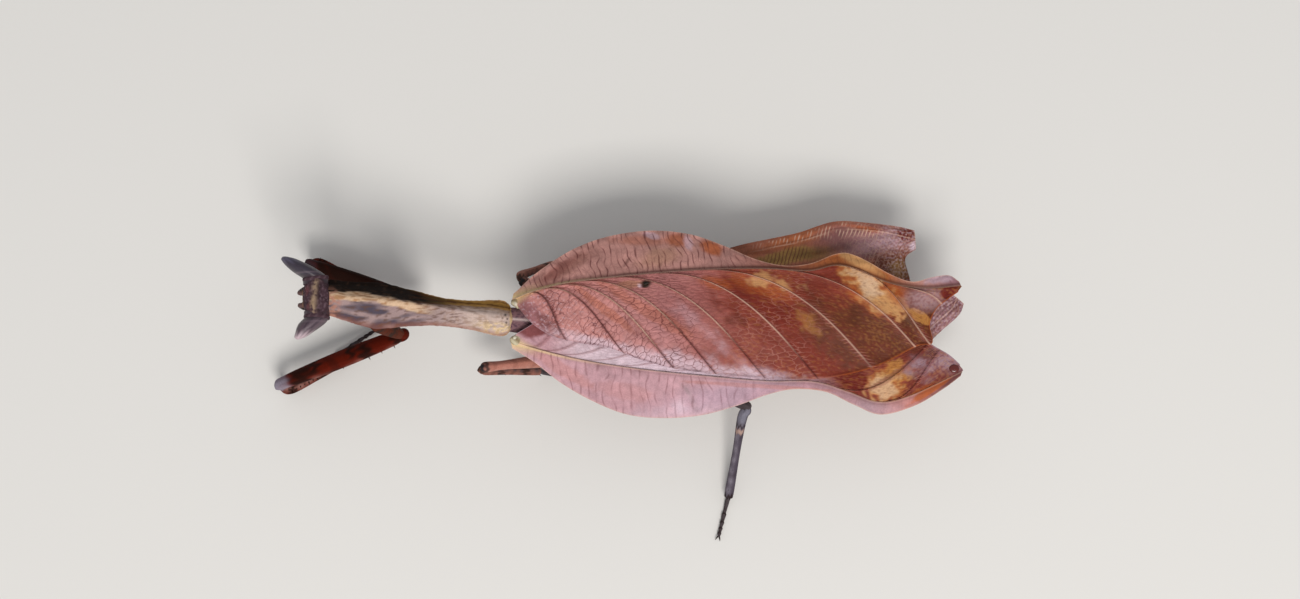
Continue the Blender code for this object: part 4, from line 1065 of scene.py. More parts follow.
# Prothorax: (x, middle y, half width, ridge height, height of the side edges, belly height)
PROTHORAX = [
    (-14.1, 1.08, 1.34, 12.55, 11.6, 10.7), (-13.3, 0.96, 1.4, 12.7, 11.6, 10.5),
    (-12.4, 0.8, 1.50, 12.6, 11.3, 9.9), (-10.6, 0.62, 1.74, 12.2, 10.6, 9.2),
    (-9.6, 0.60, 1.68, 11.9, 10.3, 9.0), (-7.8, 0.55, 1.38, 11.3, 9.9, 8.7),
    (-5.6, 0.38, 1.08, 10.6, 9.4, 8.2), (-3.4, 0.22, 1.10, 9.9, 8.9, 7.7),
    (-1.6, 0.12, 1.32, 9.5, 8.4, 7.2), (-0.7, 0.08, 1.30, 9.25, 8.2, 6.9), (-0.25, 0.06, 1.22, 9.1, 8.1, 6.8),
]
PROTHORAX_SECTION = [
    (0.0, 1.0), (0.1, 0.97), (0.2, 0.85), (0.5, 0.52), (0.82, 0.17), (0.97, 0.08), (1.02, 0.0), (0.93, -0.1),
    (0.86, -0.26), (0.6, -0.78), (0.3, -0.95), (0.0, -1.0),
]
PROTHORAX_ROLL = math.radians(10)
PROTHORAX_RINGS = 150
PROTHORAX_SIDES = 40
END_ROUNDING = 0.32
CREST = [
    (-13.6, 1.1), (-10.9, 1.12), (-9.5, 0.95), (-8.4, 0.74), (-7.2, 0.53), (-5.6, 0.4), (-3.7, 0.38),
    (-1.7, 0.32),
    (-0.25, 0.08),
]
REAR_DOTS = [(-0.78, 0.26, 0.1), (-0.62, -0.04, 0.08), (-0.7, -0.3, 0.09), (-0.98, 0.02, 0.06)]


def streaks(x, y, z, length, width, seed):
    """Noise drawn out along the body."""
    cloud = np.column_stack([x.ravel() / length, y.ravel() / width, z.ravel() / width])
    return rough_noise(cloud, 1.0, seed).reshape(x.shape)


def bark_tones(x, y, z, across, height):
    """Colours of the back plate: a tan crest, a dark right flank that is mostly painted shade, and a grey to
    cream left one with painted highlights at its rear.
    """
    broad = streaks(x, y, z, 1.6, 0.45, 5.0)
    fine = streaks(x, y, z, 2.0, 0.12, 9.0)
    spots = streaks(x, y, z, 0.3, 0.22, 2.0)
    off = y - table(CREST, x.ravel()).reshape(x.shape) + 0.07 * fine
    rear = smoothstep(-8.2, -4.6, x + broad)
    tones = mix(BARK_GREY, srgb(80, 72, 82), smoothstep(-0.1, 0.3, broad))
    tones = mix(tones, srgb(168, 142, 138), smoothstep(0.05, 0.3, -broad) * 0.6)
    tones = mix(tones, srgb(170, 146, 142), rear * 0.85)
    tones = mix(tones, srgb(188, 166, 156), smoothstep(-6.0, -2.4, x + 1.2 * broad))
    # Cream patches at the rear of the left flank: painted highlights.
    tones = mix(tones, srgb(218, 190, 150), smoothstep(-3.6, -1.6, x) * smoothstep(-0.4, -0.8, off)
        * smoothstep(-0.3, 0.2, spots))
    tones = mix(tones, srgb(96, 72, 62), smoothstep(0.12, 0.4, fine) * (0.7 - 0.35 * smoothstep(-5, -2, x)))
    tones = mix(tones, srgb(140, 110, 90), smoothstep(0.1, 0.4, spots) * rear * 0.4)
    tones = mix(tones, srgb(140, 84, 64), smoothstep(0.72, 0.95, -across) * (height > -0.2) * 0.45)
    # The right flank is painted near black for the shade it lies in, turning gold towards the rear.
    dark = mix(BARK_DARK * 0.28, BARK_GOLD, smoothstep(-7.4, -3.8, x + 0.8 * broad) * 0.85)
    lines = smoothstep(0.1, 0.6, np.sin(off * 19 + 1.6 * broad))
    dark = mix(dark, srgb(74, 44, 26), lines * smoothstep(-8.4, -6.4, x) * 0.75)
    dark = mix(dark, srgb(84, 60, 44), smoothstep(0.2, 0.55, spots) * 0.3)
    tones = mix(tones, dark, smoothstep(0.12, 0.34 + 0.3 * rear, off))
    crest = (
        smoothstep(0.42, 0.24, np.abs(off + 0.04 + 0.16 * broad)) * smoothstep(-5.4, -7.8, x)
        * (height > -0.1)
    )
    crest_tone = mix(srgb(206, 174, 144), srgb(166, 126, 94), smoothstep(0.0, 0.4, fine))
    tones = mix(tones, crest_tone, crest)
    tones = mix(tones, BARK_TAN, smoothstep(0.93, 1.0, across) * smoothstep(-9, -6, x) * 0.7)
    collar = smoothstep(-12.7, -13.3, x + 0.4 * broad) * smoothstep(0.9, 0.1, off)
    tones = mix(tones, BARK_PINK, collar * smoothstep(-0.3, 0.2, spots) * 0.8)
    tones = mix(tones, LEAF_BROWN, (height < -0.2) * 0.7)
    rim = smoothstep(-0.5, -0.4, x) * (height > -0.3)
    tones = mix(tones, BARK_CREAM, rim * 0.8)
    for dot_x, dot_y, size in REAR_DOTS:
        near = np.hypot(x - dot_x, y - dot_y) / size
        tones = mix(tones, BLACKISH, np.exp(-(near**2)) * (height > 0) * 0.95)
    return tones


def prothorax():
    """Keeled back plate with thin side edges over a rounded belly."""
    first, last = PROTHORAX[0][0], PROTHORAX[-1][0]
    x = crowded_ends(first, last, PROTHORAX_RINGS)
    middle, width, ridge, edge, belly = columns_at(PROTHORAX, x)
    near_end = np.clip(np.minimum(x - first, last - x) / END_ROUNDING, 0, 1)
    close = np.sqrt(1 - (1 - near_end) ** 2)[:, None]
    half = through(PROTHORAX_SECTION, np.linspace(0, 1, PROTHORAX_SIDES + 1))
    outline = np.vstack([half, (half * [-1, 1])[-2:0:-1]])
    w, h = outline[:, 0][None, :], outline[:, 1][None, :]
    xs = x[:, None] * np.ones_like(w)
    rear_round = 1 - 0.5 * (1 - np.clip((last - x) / 0.8, 0, 1)) ** 2
    y = w * (width * rear_round)[:, None] * close
    z = np.where(h > 0, h * (ridge - edge)[:, None], h * (edge - belly)[:, None]) * close
    groove = 0.16 * np.exp(-(((xs + 9.3 - 0.5 * np.abs(w)) / 0.2) ** 2)) * (h > 0) * (1 - np.abs(w))
    lip = 0.06 * np.exp(-(((xs - last + 0.34) / 0.12) ** 2)) * (h > 0)
    z = z - groove + lip
    roll = (PROTHORAX_ROLL * smoothstep(-0.5, -6.0, x))[:, None]
    turned_y = middle[:, None] + y * np.cos(roll) + z * np.sin(roll)
    turned_z = edge[:, None] + z * np.cos(roll) - y * np.sin(roll)
    wrinkle = streaks(xs, turned_y, turned_z, 1.8, 0.16, 3.0)
    lump = streaks(xs, turned_y, turned_z, 0.8, 0.5, 7.0)
    grain = streaks(xs, turned_y, turned_z, 0.14, 0.12, 1.0)
    rise = (0.03 * wrinkle + 0.045 * lump + 0.014 * grain) * close
    teeth = (
        0.05 * np.abs(streaks(xs, turned_y, turned_z, 0.16, 4.0, 4.0)) * smoothstep(0.9, 1.0, np.abs(w))
        * np.sign(w)
    )
    rings = np.stack([xs, turned_y + 0.5 * rise * np.sign(w) + teeth, turned_z + rise], axis=2)
    return loft(rings, bark_tones(xs, turned_y, turned_z, w * np.ones_like(xs), h * np.ones_like(xs)))


HEAD_CENTRE = np.array((-14.6, 0.95, 11.6))
HEAD_YAW = math.radians(4)
# (height over the centre, half width, half depth, forward shift)
HEAD = [
    (-2.8, 0.36, 0.26, 0.78), (-2.2, 0.62, 0.50, 0.70), (-1.5, 0.85, 0.78, 0.50), (-0.6, 1.15, 0.98, 0.27),
    (0.3, 1.40, 1.08, 0.14), (1.0, 1.45, 1.02, 0.02), (1.45, 1.42, 0.92, -0.1), (1.8, 1.36, 0.84, -0.2),
]
HEAD_ROUNDING = (0.3, 0.42)
HEAD_RINGS = 100
HEAD_SIDES = 84


def head_frame(forward, side, up):
    """Points of the head's own frame in the body frame. side is towards the animal's left."""
    c, s = math.cos(HEAD_YAW), math.sin(HEAD_YAW)
    forward, side, up = (np.asarray(v, float) for v in (forward, side, up))
    return np.stack(np.broadcast_arrays(
        HEAD_CENTRE[0] - forward * c + side * s, HEAD_CENTRE[1] - forward * s - side * c, HEAD_CENTRE[2] + up
    ), axis=-1)


def head_route(side, *places):
    """Points on one side of the head, each given as lengths ahead, outwards and up."""
    return [head_frame(ahead, side * out, up) for ahead, out, up in places]


def bump_at(value, centre, half):
    """1 at the centre, falling off smoothly over half."""
    return np.exp(-(((value - centre) / half) ** 2))


def head_shape():
    """Face with its shield, clypeus and lip, and a furrowed crown between the eyes."""
    first, last = HEAD[0][0], HEAD[-1][0]
    up = crowded_ends(first, last, HEAD_RINGS)
    width, depth, shift = columns_at(HEAD, up)
    low, high = (np.clip(gap / size, 0, 1) for gap, size in zip((up - first, last - up), HEAD_ROUNDING))
    close = np.sqrt(1 - (1 - low) ** 2) * np.sqrt(1 - (1 - high) ** 2)
    angles = 2 * math.pi * np.arange(HEAD_SIDES) / HEAD_SIDES
    flat_face = 1 - 0.16 * np.maximum(0, np.cos(angles)) ** 4
    ahead = np.outer(depth * close, np.cos(angles) * flat_face)
    side = np.outer(width * close, np.sin(angles))
    ups = up[:, None] * np.ones_like(side)
    face = smoothstep(0.2, 0.6, np.cos(angles))[None, :] * np.ones_like(side)
    aside = np.abs(side)
    shield = (
        smoothstep(0.6, 0.5, aside) * smoothstep(-0.74, -0.66, ups)
        * smoothstep(0.16, 0.06, ups + 0.35 * aside)
    )
    clypeus = smoothstep(0.62, 0.5, aside) * smoothstep(-1.42, -1.34, ups) * smoothstep(-0.8, -0.88, ups)
    lip = smoothstep(0.5, 0.36, aside) * smoothstep(-1.5, -1.58, ups)
    cut = 0.07 * bump_at(ups, -0.77, 0.05) + 0.06 * bump_at(ups, -1.46, 0.045)
    cut += 0.05 * bump_at(aside, 0.72, 0.05) * smoothstep(0.2, -0.3, ups)
    rise = face * (0.07 * shield + 0.06 * clypeus + 0.05 * lip - cut)
    crown = smoothstep(0.7, 1.3, ups)
    rise -= crown * (0.07 * bump_at(aside, 0.38, 0.06) + 0.09 * bump_at(aside, 0.95, 0.08))
    rise -= (1 - face) * 0.05 * bump_at(ups, 0.9, 0.07)
    rings = head_frame(shift[:, None] + ahead * (1 + rise), side,
        ups - crown * 0.06 * bump_at(aside, 0.38, 0.1))
    x, y, z = np.moveaxis(rings, 2, 0)
    fine = streaks(x, y, z, 0.16, 0.16, 9.0)
    broad = streaks(x, y, z, 0.5, 0.6, 4.0)
    rings[..., 2] += 0.035 * fine + 0.04 * broad * crown
    rings[..., 0] -= 0.03 * fine
    tones = mix(HEAD_DARK, srgb(48, 36, 40), smoothstep(-0.1, 0.4, broad) * 0.8)
    tones = mix(tones, srgb(112, 92, 100), smoothstep(0.1, 0.45, fine) * 0.45)
    forward = shift[:, None] + ahead
    band = (
        bump_at(forward, 0.02 + 0.12 * side + 0.15 * broad, 0.22) * smoothstep(1.0, 1.35, ups)
        * smoothstep(1.5, 1.05, aside)
    )
    tones = mix(tones, srgb(156, 132, 108), band * smoothstep(-0.6, 0.05, fine + 0.3 * broad) * 0.85)
    tones = mix(tones, srgb(124, 78, 82), bump_at(forward, 0.62, 0.25) * crown * smoothstep(-0.2, 0.4, broad)
        * 0.5)
    tones = mix(tones, srgb(124, 84, 66), face * smoothstep(-0.1, -1.0, ups) * 0.6)
    tones = mix(tones, BARK_TAN, face * (0.5 * shield * smoothstep(0.3, 0.0, aside) + 0.3 * lip))
    return loft(rings, tones)


# (share of the way out, half depth, half height)
EYE = [
    (0.0, 0.93, 1.08), (0.12, 0.96, 1.10), (0.25, 0.98, 1.08), (0.45, 0.93, 0.97), (0.65, 0.8, 0.78),
    (0.85, 0.58, 0.54), (1.0, 0.3, 0.28),
]
BLUNT_EYE = EYE[:3] + [(0.45, 0.86, 0.95), (0.65, 0.66, 0.74), (0.85, 0.47, 0.52), (1.0, 0.26, 0.3)]
EYE_BASE = np.array((0.05, 1.5, 0.45))
EYE_TIPS = {1: (1.4, 3.1, 1.1), -1: (2.2, 3.12, 1.1)}
EYE_SUNK = 0.5
EYE_SIDES = 64


def eye_shape(side):
    """A leaning cone with a rounded, slightly nippled end, sunk into the head."""
    shares = np.concatenate([np.linspace(-0.3, 0.9, 50), 1 - 0.1 * np.cos(np.linspace(0.2, 1.5, 12))])
    inside = np.clip(shares, 0, 1)
    depth, height = columns_at(BLUNT_EYE if side > 0 else EYE, inside)
    end = np.sqrt(np.clip(1 - ((inside - 0.86) / 0.145).clip(0) ** 2, 0.02, 1))
    tip = np.array(EYE_TIPS[side])
    centre = EYE_BASE + np.outer(inside, tip - EYE_BASE)
    centre[:, 1] += np.minimum(shares, 0) / 0.3 * EYE_SUNK
    angles = 2 * math.pi * np.arange(EYE_SIDES) / EYE_SIDES
    rings = head_frame(
        centre[:, 0][:, None] + np.outer(depth * end, np.cos(angles)),
        side * centre[:, 1][:, None] + 0 * angles,
        centre[:, 2][:, None] + np.outer(height * end, np.sin(angles)),
    )
    share_grid = shares[:, None] + 0 * angles[None, :]
    turn = angles[None, :] + 0 * share_grid
    # The left eye faces the light: its paler body and pale tip are painted light, and the right eye's darker
    # ones painted shade.
    pale = side > 0
    tones = srgb(84, 68, 76) if pale else srgb(58, 52, 62)
    line = np.sin(9 * turn + 1.4 * np.sin(3 * share_grid))
    tones = mix(tones, srgb(52, 42, 52), smoothstep(0.1, 0.8, line) * smoothstep(0.95, 0.5, share_grid) * 0.6)
    tones = mix(tones, srgb(60, 46, 52), smoothstep(0.16, 0.02, share_grid) * 0.8)
    tones = mix(tones, srgb(120, 104, 112), bump_at(share_grid, 0.2, 0.035) * 0.4)
    tip_colour = srgb(190, 168, 174) if pale else srgb(88, 84, 102)
    tones = mix(tones, tip_colour, smoothstep(0.55, 0.95, share_grid + 0.08 * line) * 0.85)
    return loft(rings, tones)


# (x, half width, height of the top, height of the bottom)
THORAX = [
    (0.0, 0.85, 8.15, 6.4), (0.7, 1.55, 8.05, 5.2), (1.6, 1.95, 7.65, 4.4), (3.2, 2.05, 7.2, 3.9),
    (5.2, 2.05, 7.2, 3.7), (6.8, 1.95, 7.2, 3.8), (8.0, 1.70, 7.0, 4.2), (8.6, 1.30, 6.7, 4.7),
]
THORAX_RINGS = 130
ABDOMEN_RINGS = 260
TRUNK_SIDES = 60
ABDOMEN_START = 8.95
ABDOMEN_END = 26.6
ABDOMEN_SEGMENTS = 8
ABDOMEN_WIDTH = [(0.0, 1.45), (0.25, 2.0), (0.55, 2.1), (0.8, 1.6), (1.0, 0.8)]
ABDOMEN_TOP = [(0.0, 6.7), (0.25, 6.9), (0.55, 6.6), (0.8, 6.05), (1.0, 5.4)]
ABDOMEN_BOTTOM = [(0.0, 4.7), (0.25, 4.0), (0.55, 3.7), (0.8, 3.9), (1.0, 4.4)]


def oval_rings(x, width, top, bottom):
    """Oval rings across the trunk and the angle of each of their points."""
    angles = 2 * math.pi * (np.arange(TRUNK_SIDES) + 0.5) / TRUNK_SIDES
    y = np.outer(width, np.cos(angles))
    z = ((top + bottom) / 2)[:, None] + np.outer((top - bottom) / 2, np.sin(angles))
    return np.stack([x[:, None] * np.ones_like(y), y, z], axis=2), angles


def thorax_shape():
    """Middle and hind thorax, with furrows between its plates."""
    x = np.linspace(-0.3, 9.6, THORAX_RINGS)
    width, top, bottom = columns_at(THORAX, x)
    for furrow in (1.3, 4.2, 7.4):
        pinch = bump_at(x, furrow, 0.14)
        width, top, bottom = width - 0.07 * pinch, top - 0.06 * pinch, bottom + 0.09 * pinch
    rings, angles = oval_rings(x, width, top, bottom)
    x, y, z = np.moveaxis(rings, 2, 0)
    grain = streaks(x, y, z, 0.5, 0.5, 14.0)
    fine = streaks(x, y, z, 0.2, 0.14, 8.0)
    upper = (np.sin(angles) > 0)[None, :] * np.ones_like(grain)
    side_seam = bump_at(np.sin(angles), -0.35, 0.06)[None, :] + bump_at(np.sin(angles), 0.1, 0.05)[None, :]
    rings[..., 2] += 0.05 * grain + 0.03 * fine
    rings[..., 1] *= 1 - 0.04 * side_seam
    tones = mix(srgb(124, 104, 108), srgb(84, 66, 66), smoothstep(-0.1, 0.3, grain))
    tones = mix(tones, srgb(132, 92, 66), (1 - upper) * 0.6)
    tones = mix(tones, BARK_DARK, smoothstep(0.2, 0.5, fine) * 0.4)
    line = bump_at(y, 0, 0.09) * upper * (x < 1.4)
    tones = mix(tones, SHEEN_WHITE, line * 0.8)
    return loft(rings, tones)


def abdomen_shape():
    """Overlapping rings, each a little wider at its rear rim."""
    x = np.linspace(ABDOMEN_START - 0.9, ABDOMEN_END, ABDOMEN_RINGS)
    share = np.clip((x - ABDOMEN_START) / (ABDOMEN_END - ABDOMEN_START), 0, 1)
    width, top, bottom = (table(t, share) for t in (ABDOMEN_WIDTH, ABDOMEN_TOP, ABDOMEN_BOTTOM))
    part = (share * ABDOMEN_SEGMENTS) % 1
    step = (
        0.10 * (smoothstep(0, 0.9, part) - smoothstep(0.93, 1.0, part)) - 0.09 * smoothstep(0.9, 1.0, part)
        - 0.06
    )
    close = smoothstep(1.0, 0.965, share) ** 0.5
    middle = (top + bottom) / 2
    top, bottom = middle + (top - middle + step) * close, middle + (bottom - middle - step) * close
    width = (width + step) * close + 0.02
    rings, angles = oval_rings(x, width, top + 0.01, bottom - 0.01)
    x, y, z = np.moveaxis(rings, 2, 0)
    seam = bump_at(np.sin(angles), -0.1, 0.07)[None, :]
    rings[..., 1] *= 1 - 0.05 * seam
    grain = streaks(x, y, z, 0.3, 0.3, 6.0)
    rings[..., 2] += 0.02 * grain
    parts = part[:, None] + 0 * angles[None, :]
    tones = mix(srgb(122, 72, 54), LEAF_BROWN * 0.6, smoothstep(0.75, 0.95, parts) * 0.8)
    speck = streaks(x, y, z, 0.6, 0.6, 21.0)
    tones = mix(tones, TAN, smoothstep(0.2, 0.6, speck) * 0.35)
    tones = mix(tones, BARK_DARK, smoothstep(0.25, 0.5, grain) * 0.35)
    tones = mix(tones, CREAM, (np.sin(angles) < -0.5)[None, :] * 0.25 * np.ones_like(parts))
    tones = mix(tones, BLACKISH, seam * 0.4 * np.ones_like(parts))
    return loft(rings, tones)


def hinge_knobs(side):
    """Small rounded plates where a forewing joins the body, and the post that carries the wing."""
    top_z = float(leaf_z(np.array([0.5]), np.array([side * 1.5]), max(side, 0))[0])
    post = limb(
        [(1.1, side * 1.0, 6.3), (0.7, side * 1.45, 7.5), (0.45, side * 1.55, top_z - 0.3)],
        [(0, 0.8, 0.8), (0.6, 0.6, 0.6), (1, 0.3, 0.3)], (1, 0, 0), plain(BARK_GREY * 0.8), rings=16,
    )
    y = 1.28 if side > 0 else -1.5
    knob = limb(
        [(0.7, y * 0.8, 7.9), (0.2, y, 8.25), (-0.12, y * 1.02, 8.42), (-0.4, y * 0.95, 8.3)],
        [(0, 0.3, 0.3), (0.5, 0.44, 0.4), (0.85, 0.3, 0.26), (1, 0.06, 0.06)], (0, 0, 1),
        lambda s, a: mix(srgb(194, 184, 156), srgb(136, 118, 90), 0.5 + 0.5 * np.sin(14 * s + 3 * a)),
        rings=26, sides=26,
    )
    bead = limb(
        [(0.05, y * 0.93, 8.45), (-0.12, y * 0.93, 8.76)],
        [(0, 0.19, 0.15), (0.7, 0.15, 0.12), (1, 0.05, 0.05)],
        (1, 0, 0), plain(srgb(206, 198, 178)), rings=10, sides=18,
    )
    return [post, knob, bead]


def build_trunk():
    skin = skin_material("trunk_skin", roughness=0.7, cloud=0.12, grain=0.22, scale=34.0, depth=0.02,
        specular=0.06)
    # The neck's dark purple brown is painted shade between head and back plate; its pink rings are its own
    # colour.
    neck = limb(
        [head_frame(-0.4, 0.0, 0.3), (-13.65, 0.85, 11.65), (-12.7, 0.75, 11.2)],
        [(0, 0.7, 0.75), (0.2, 0.78, 0.8), (0.3, 0.66, 0.7), (0.44, 0.8, 0.82), (0.55, 0.68, 0.74),
            (0.7, 0.84, 0.86),
         (1, 0.9, 0.8)], (0, 0, 1),
        lambda s, a: mix(srgb(92, 66, 62), BARK_PINK, smoothstep(0.2, 1.0, np.sin(24 * s + a))),
        rings=44, sides=36,
    )

    def waist_tone(share, angle):
        blot = np.sin(31 * share + 4 * np.sin(5 * angle)) * np.sin(9 * angle + 17 * share)
        tones = mix(srgb(122, 92, 96), srgb(84, 62, 72), smoothstep(0.0, 0.7, blot))
        return mix(tones, srgb(206, 186, 182), bump_at(angle, math.pi / 2, 0.09) * 0.85)

    waist = limb(
        [(-1.6, 0.12, 8.0), (-0.2, 0.05, 7.7), (1.2, 0, 7.0)],
        [(0, 0.9, 0.7), (0.5, 0.95, 0.72), (1, 1.1, 0.9)], (0, 0, 1), waist_tone, rings=60, sides=60,
    )
    sockets = [
        limb(head_route(side, (-0.05, 0.6, 0.4), (0.02, 1.1, 0.44), (0.06, 1.56, 0.46)),
             [(0, 0.84, 0.98), (0.6, 0.9, 1.06), (0.86, 0.97, 1.13), (1, 0.94, 1.08)], (0, 0, 1),
             lambda s, a: mix(HEAD_DARK, srgb(104, 86, 92), 0.5 * smoothstep(0.2, 1, np.sin(11 * a + 9 * s))),
             rings=24, sides=56)
        for side in (-1, 1)
    ]
    cups = [
        limb(head_route(side, (0.8, 0.42, 0.18), (1.12, 0.44, 0.16)),
             [(0, 0.27, 0.27), (0.8, 0.25, 0.25), (1, 0.17, 0.17)], (0, 0, 1), plain(srgb(120, 92, 78)),
             rings=12, sides=20)
        for side in (-1, 1)
    ]
    shapes = [prothorax(), head_shape(), neck, waist, thorax_shape(), abdomen_shape()] + sockets + cups
    for side in (-1, 1):
        shapes += hinge_knobs(side)
    mesh = union("trunk_skin", shapes)
    add_piece("trunk_skin", mesh, skin, ("head", "prothorax", "thorax", "abdomen"), crease=60)


def mouth_parts():
    """Mandibles and two pairs of jointed feelers round the mouth."""
    def jointed(route, radius, colour):
        shares = np.linspace(0, 0.94, 16)
        swell = radius * (1 - 0.35 * shares) * (1 + 0.3 * np.cos(18 * shares))
        sizes = [(s, r, r) for s, r in zip(shares, swell)] + [(1, 0.02, 0.02)]
        return limb(route, sizes, (0.3, 1, 0), plain(colour), rings=40, sides=12)

    made = []
    for side in (-1, 1):
        made.append(limb(
            head_route(side, (0.7, 0.46, -1.8), (0.84, 0.44, -2.35), (0.88, 0.12, -2.8)),
            [(0, 0.18, 0.24), (0.5, 0.17, 0.22), (1, 0.05, 0.08)], (1, 0, 0), plain(srgb(66, 42, 36)),
            rings=18, sides=16,
        ))
        made.append(jointed(
            head_route(side, (0.55, 0.5, -2.1), (0.85, 0.85, -2.6), (1.15, 0.8, -3.2), (0.9, 0.55, -3.6)),
            0.13, srgb(110, 84, 70),
        ))
        made.append(jointed(
            head_route(side, (0.5, 0.25, -2.45), (0.6, 0.4, -3.0), (0.85, 0.35, -3.4)),
            0.11, srgb(126, 92, 72),
        ))
    made.append(limb([head_frame(0.62, 0, -2.2), head_frame(0.66, 0, -3.0)],
        [(0, 0.4, 0.3), (0.7, 0.34, 0.24), (1, 0.1, 0.1)],
                     (1, 0, 0), plain(srgb(104, 72, 56)), rings=14, sides=20))
    return made


def build_head_details():
    eye_skin = skin_material("eye_facets", roughness=0.42, cloud=0.1, grain=0.2, scale=30.0, depth=0.01,
        coat=0.08)
    horn = skin_material("feeler_horn", roughness=0.5, cloud=0.1, grain=0.2, scale=30.0, depth=0.012)
    gloss = skin_material("ocellus_gloss", roughness=0.2, cloud=0.05, grain=0.05, depth=0.005, coat=0.4)
    for name, side in (("left", 1), ("right", -1)):
        mesh = union("eye_%s_facets" % name, [eye_shape(side)])
        add_piece("eye_%s_facets" % name, mesh, eye_skin, ("eye_" + name,), crease=80)
        add_piece("antenna_%s_beads" % name, union("antenna", antenna(side)), horn,
            ("antenna_" + name,))
        beads = [(s, 0.27 * (1 - 0.6 * s) * (1 + 0.12 * math.cos(66 * s)) + 0.02) for s in np.linspace(0,
            0.96, 60)]
        cercus = limb(
            [(26.2, side * -0.4, 4.95), (27.2, side * -0.65, 4.9), (29.0, side * -1.35, 4.6)],
            [(s, r, r * 0.9) for s, r in beads] + [(1, 0.03, 0.03)], (0, 0, 1),
            lambda s, _: mix(srgb(124, 76, 50), BLACKISH, 0.6 * smoothstep(0.2, 0.9, np.cos(66 * s))),
            rings=90, sides=16,
        )
        add_piece("cercus_%s_horn" % name, union("cercus", [cercus]), horn, ("cercus_" + name,))
    ocelli = []
    for side, up in ((0.0, 0.5), (0.27, 0.78), (-0.27, 0.78)):
        middle = head_frame(0.78, side, up)
        ocelli.append(limb([middle, middle + np.array((-0.2, 0, 0.04))],
                           [(0, 0.1, 0.1), (0.6, 0.1, 0.1), (1, 0.03, 0.03)], (0, 0, 1),
                           plain(srgb(70, 46, 34)),
                           rings=10, sides=20))
    add_piece("ocelli", union("ocelli", ocelli), gloss)
    add_piece("mouth_parts", union("mouth_parts", mouth_parts()), horn)


# The feelers' root in the head's frame and the route from it, as lengths ahead, outwards and up
ANTENNA_ROOT = (1.35, 0.45, 0.1)
ANTENNA = [
    (-0.5, -0.02, 0.03), (-0.2, 0.0, 0.02), (-0.02, 0.02, -0.1), (0.04, 0.08, -0.4), (0.02, 0.2, -1.2),
    (-0.1, 0.36, -2.5), (-0.8, 0.4, -4.1), (-2.3, 0.35, -5.6), (-4.3, 0.2, -6.8),
]
ANTENNA_LEAN = 0.13
ANTENNA_JOINTS = 52


def antenna(side):
    """A feeler of many small beads on a thicker base, hanging from the face and curving back."""
    forward, out, up = ANTENNA_ROOT
    root = head_frame(forward, side * out, up)
    path = root + np.array(ANTENNA) * (-1, -side, 1)
    path[:, 1] -= ANTENNA_LEAN * (path[:, 2] - root[2])
    shares = np.linspace(0, 0.995, ANTENNA_JOINTS * 6)
    swell = 1 + 0.13 * np.cos(2 * math.pi * ANTENNA_JOINTS * shares)
    radius = (0.125 - 0.07 * shares) * swell + 0.06 * smoothstep(0.08, 0.05, shares)
    sizes = [(s, r, r) for s, r in zip(shares, radius)] + [(1.0, 0.01, 0.01)]

    def tone(share, _):
        joint = smoothstep(0.2, 0.9, -np.cos(2 * math.pi * ANTENNA_JOINTS * share))
        tones = mix(srgb(62, 48, 46), srgb(104, 82, 72), joint * 0.7)
        return mix(tones, srgb(92, 66, 64), smoothstep(0.08, 0.05, share))

    return [limb(path, sizes, (0, 1, 0), tone, rings=len(shares) + 1, sides=12)]


# Legs

FORELEGS = {
    "left": {"side": -1, "root": (-10.6, -0.45, 9.02), "hip": (-9.2, -0.85, 2.75),
        "knee": (-18.8, -4.95, 2.3)},
    "right": {"side": 1, "root": (-10.4, 1.6, 8.78), "hip": (-7.8, 1.45, 2.75), "knee": (-16.85, 4.6, 2.15)},
}
# Sizes along each piece of a leg: (share, half width, half height)
FORE_COXA = [
    (0.0, 0.42, 0.50), (0.12, 0.60, 0.70), (0.45, 0.52, 0.64), (0.8, 0.46, 0.52), (1.0, 0.36, 0.38),
]
FORE_FEMUR = [
    (0.0, 0.16, 0.2), (0.03, 0.40, 0.5), (0.08, 0.54, 0.76), (0.25, 0.62, 1.02), (0.5, 0.66, 1.0),
    (0.75, 0.58, 0.82),
    (0.93, 0.48, 0.62), (0.98, 0.36, 0.46), (1.0, 0.14, 0.18),
]
FORE_TIBIA = [
    (0.0, 0.24, 0.28), (0.1, 0.34, 0.36), (0.5, 0.32, 0.32), (0.8, 0.26, 0.25), (0.92, 0.16, 0.15),
    (1.0, 0.03, 0.03),
]
TARSUS = [
    (0.0, 0.13, 0.13), (0.06, 0.18, 0.18), (0.36, 0.13, 0.13), (0.40, 0.19, 0.18), (0.58, 0.13, 0.13),
    (0.61, 0.18, 0.17), (0.74, 0.12, 0.12), (0.77, 0.17, 0.16), (0.86, 0.12, 0.12), (0.9, 0.16, 0.15),
    (0.98, 0.1, 0.12), (1.0, 0.04, 0.05),
]
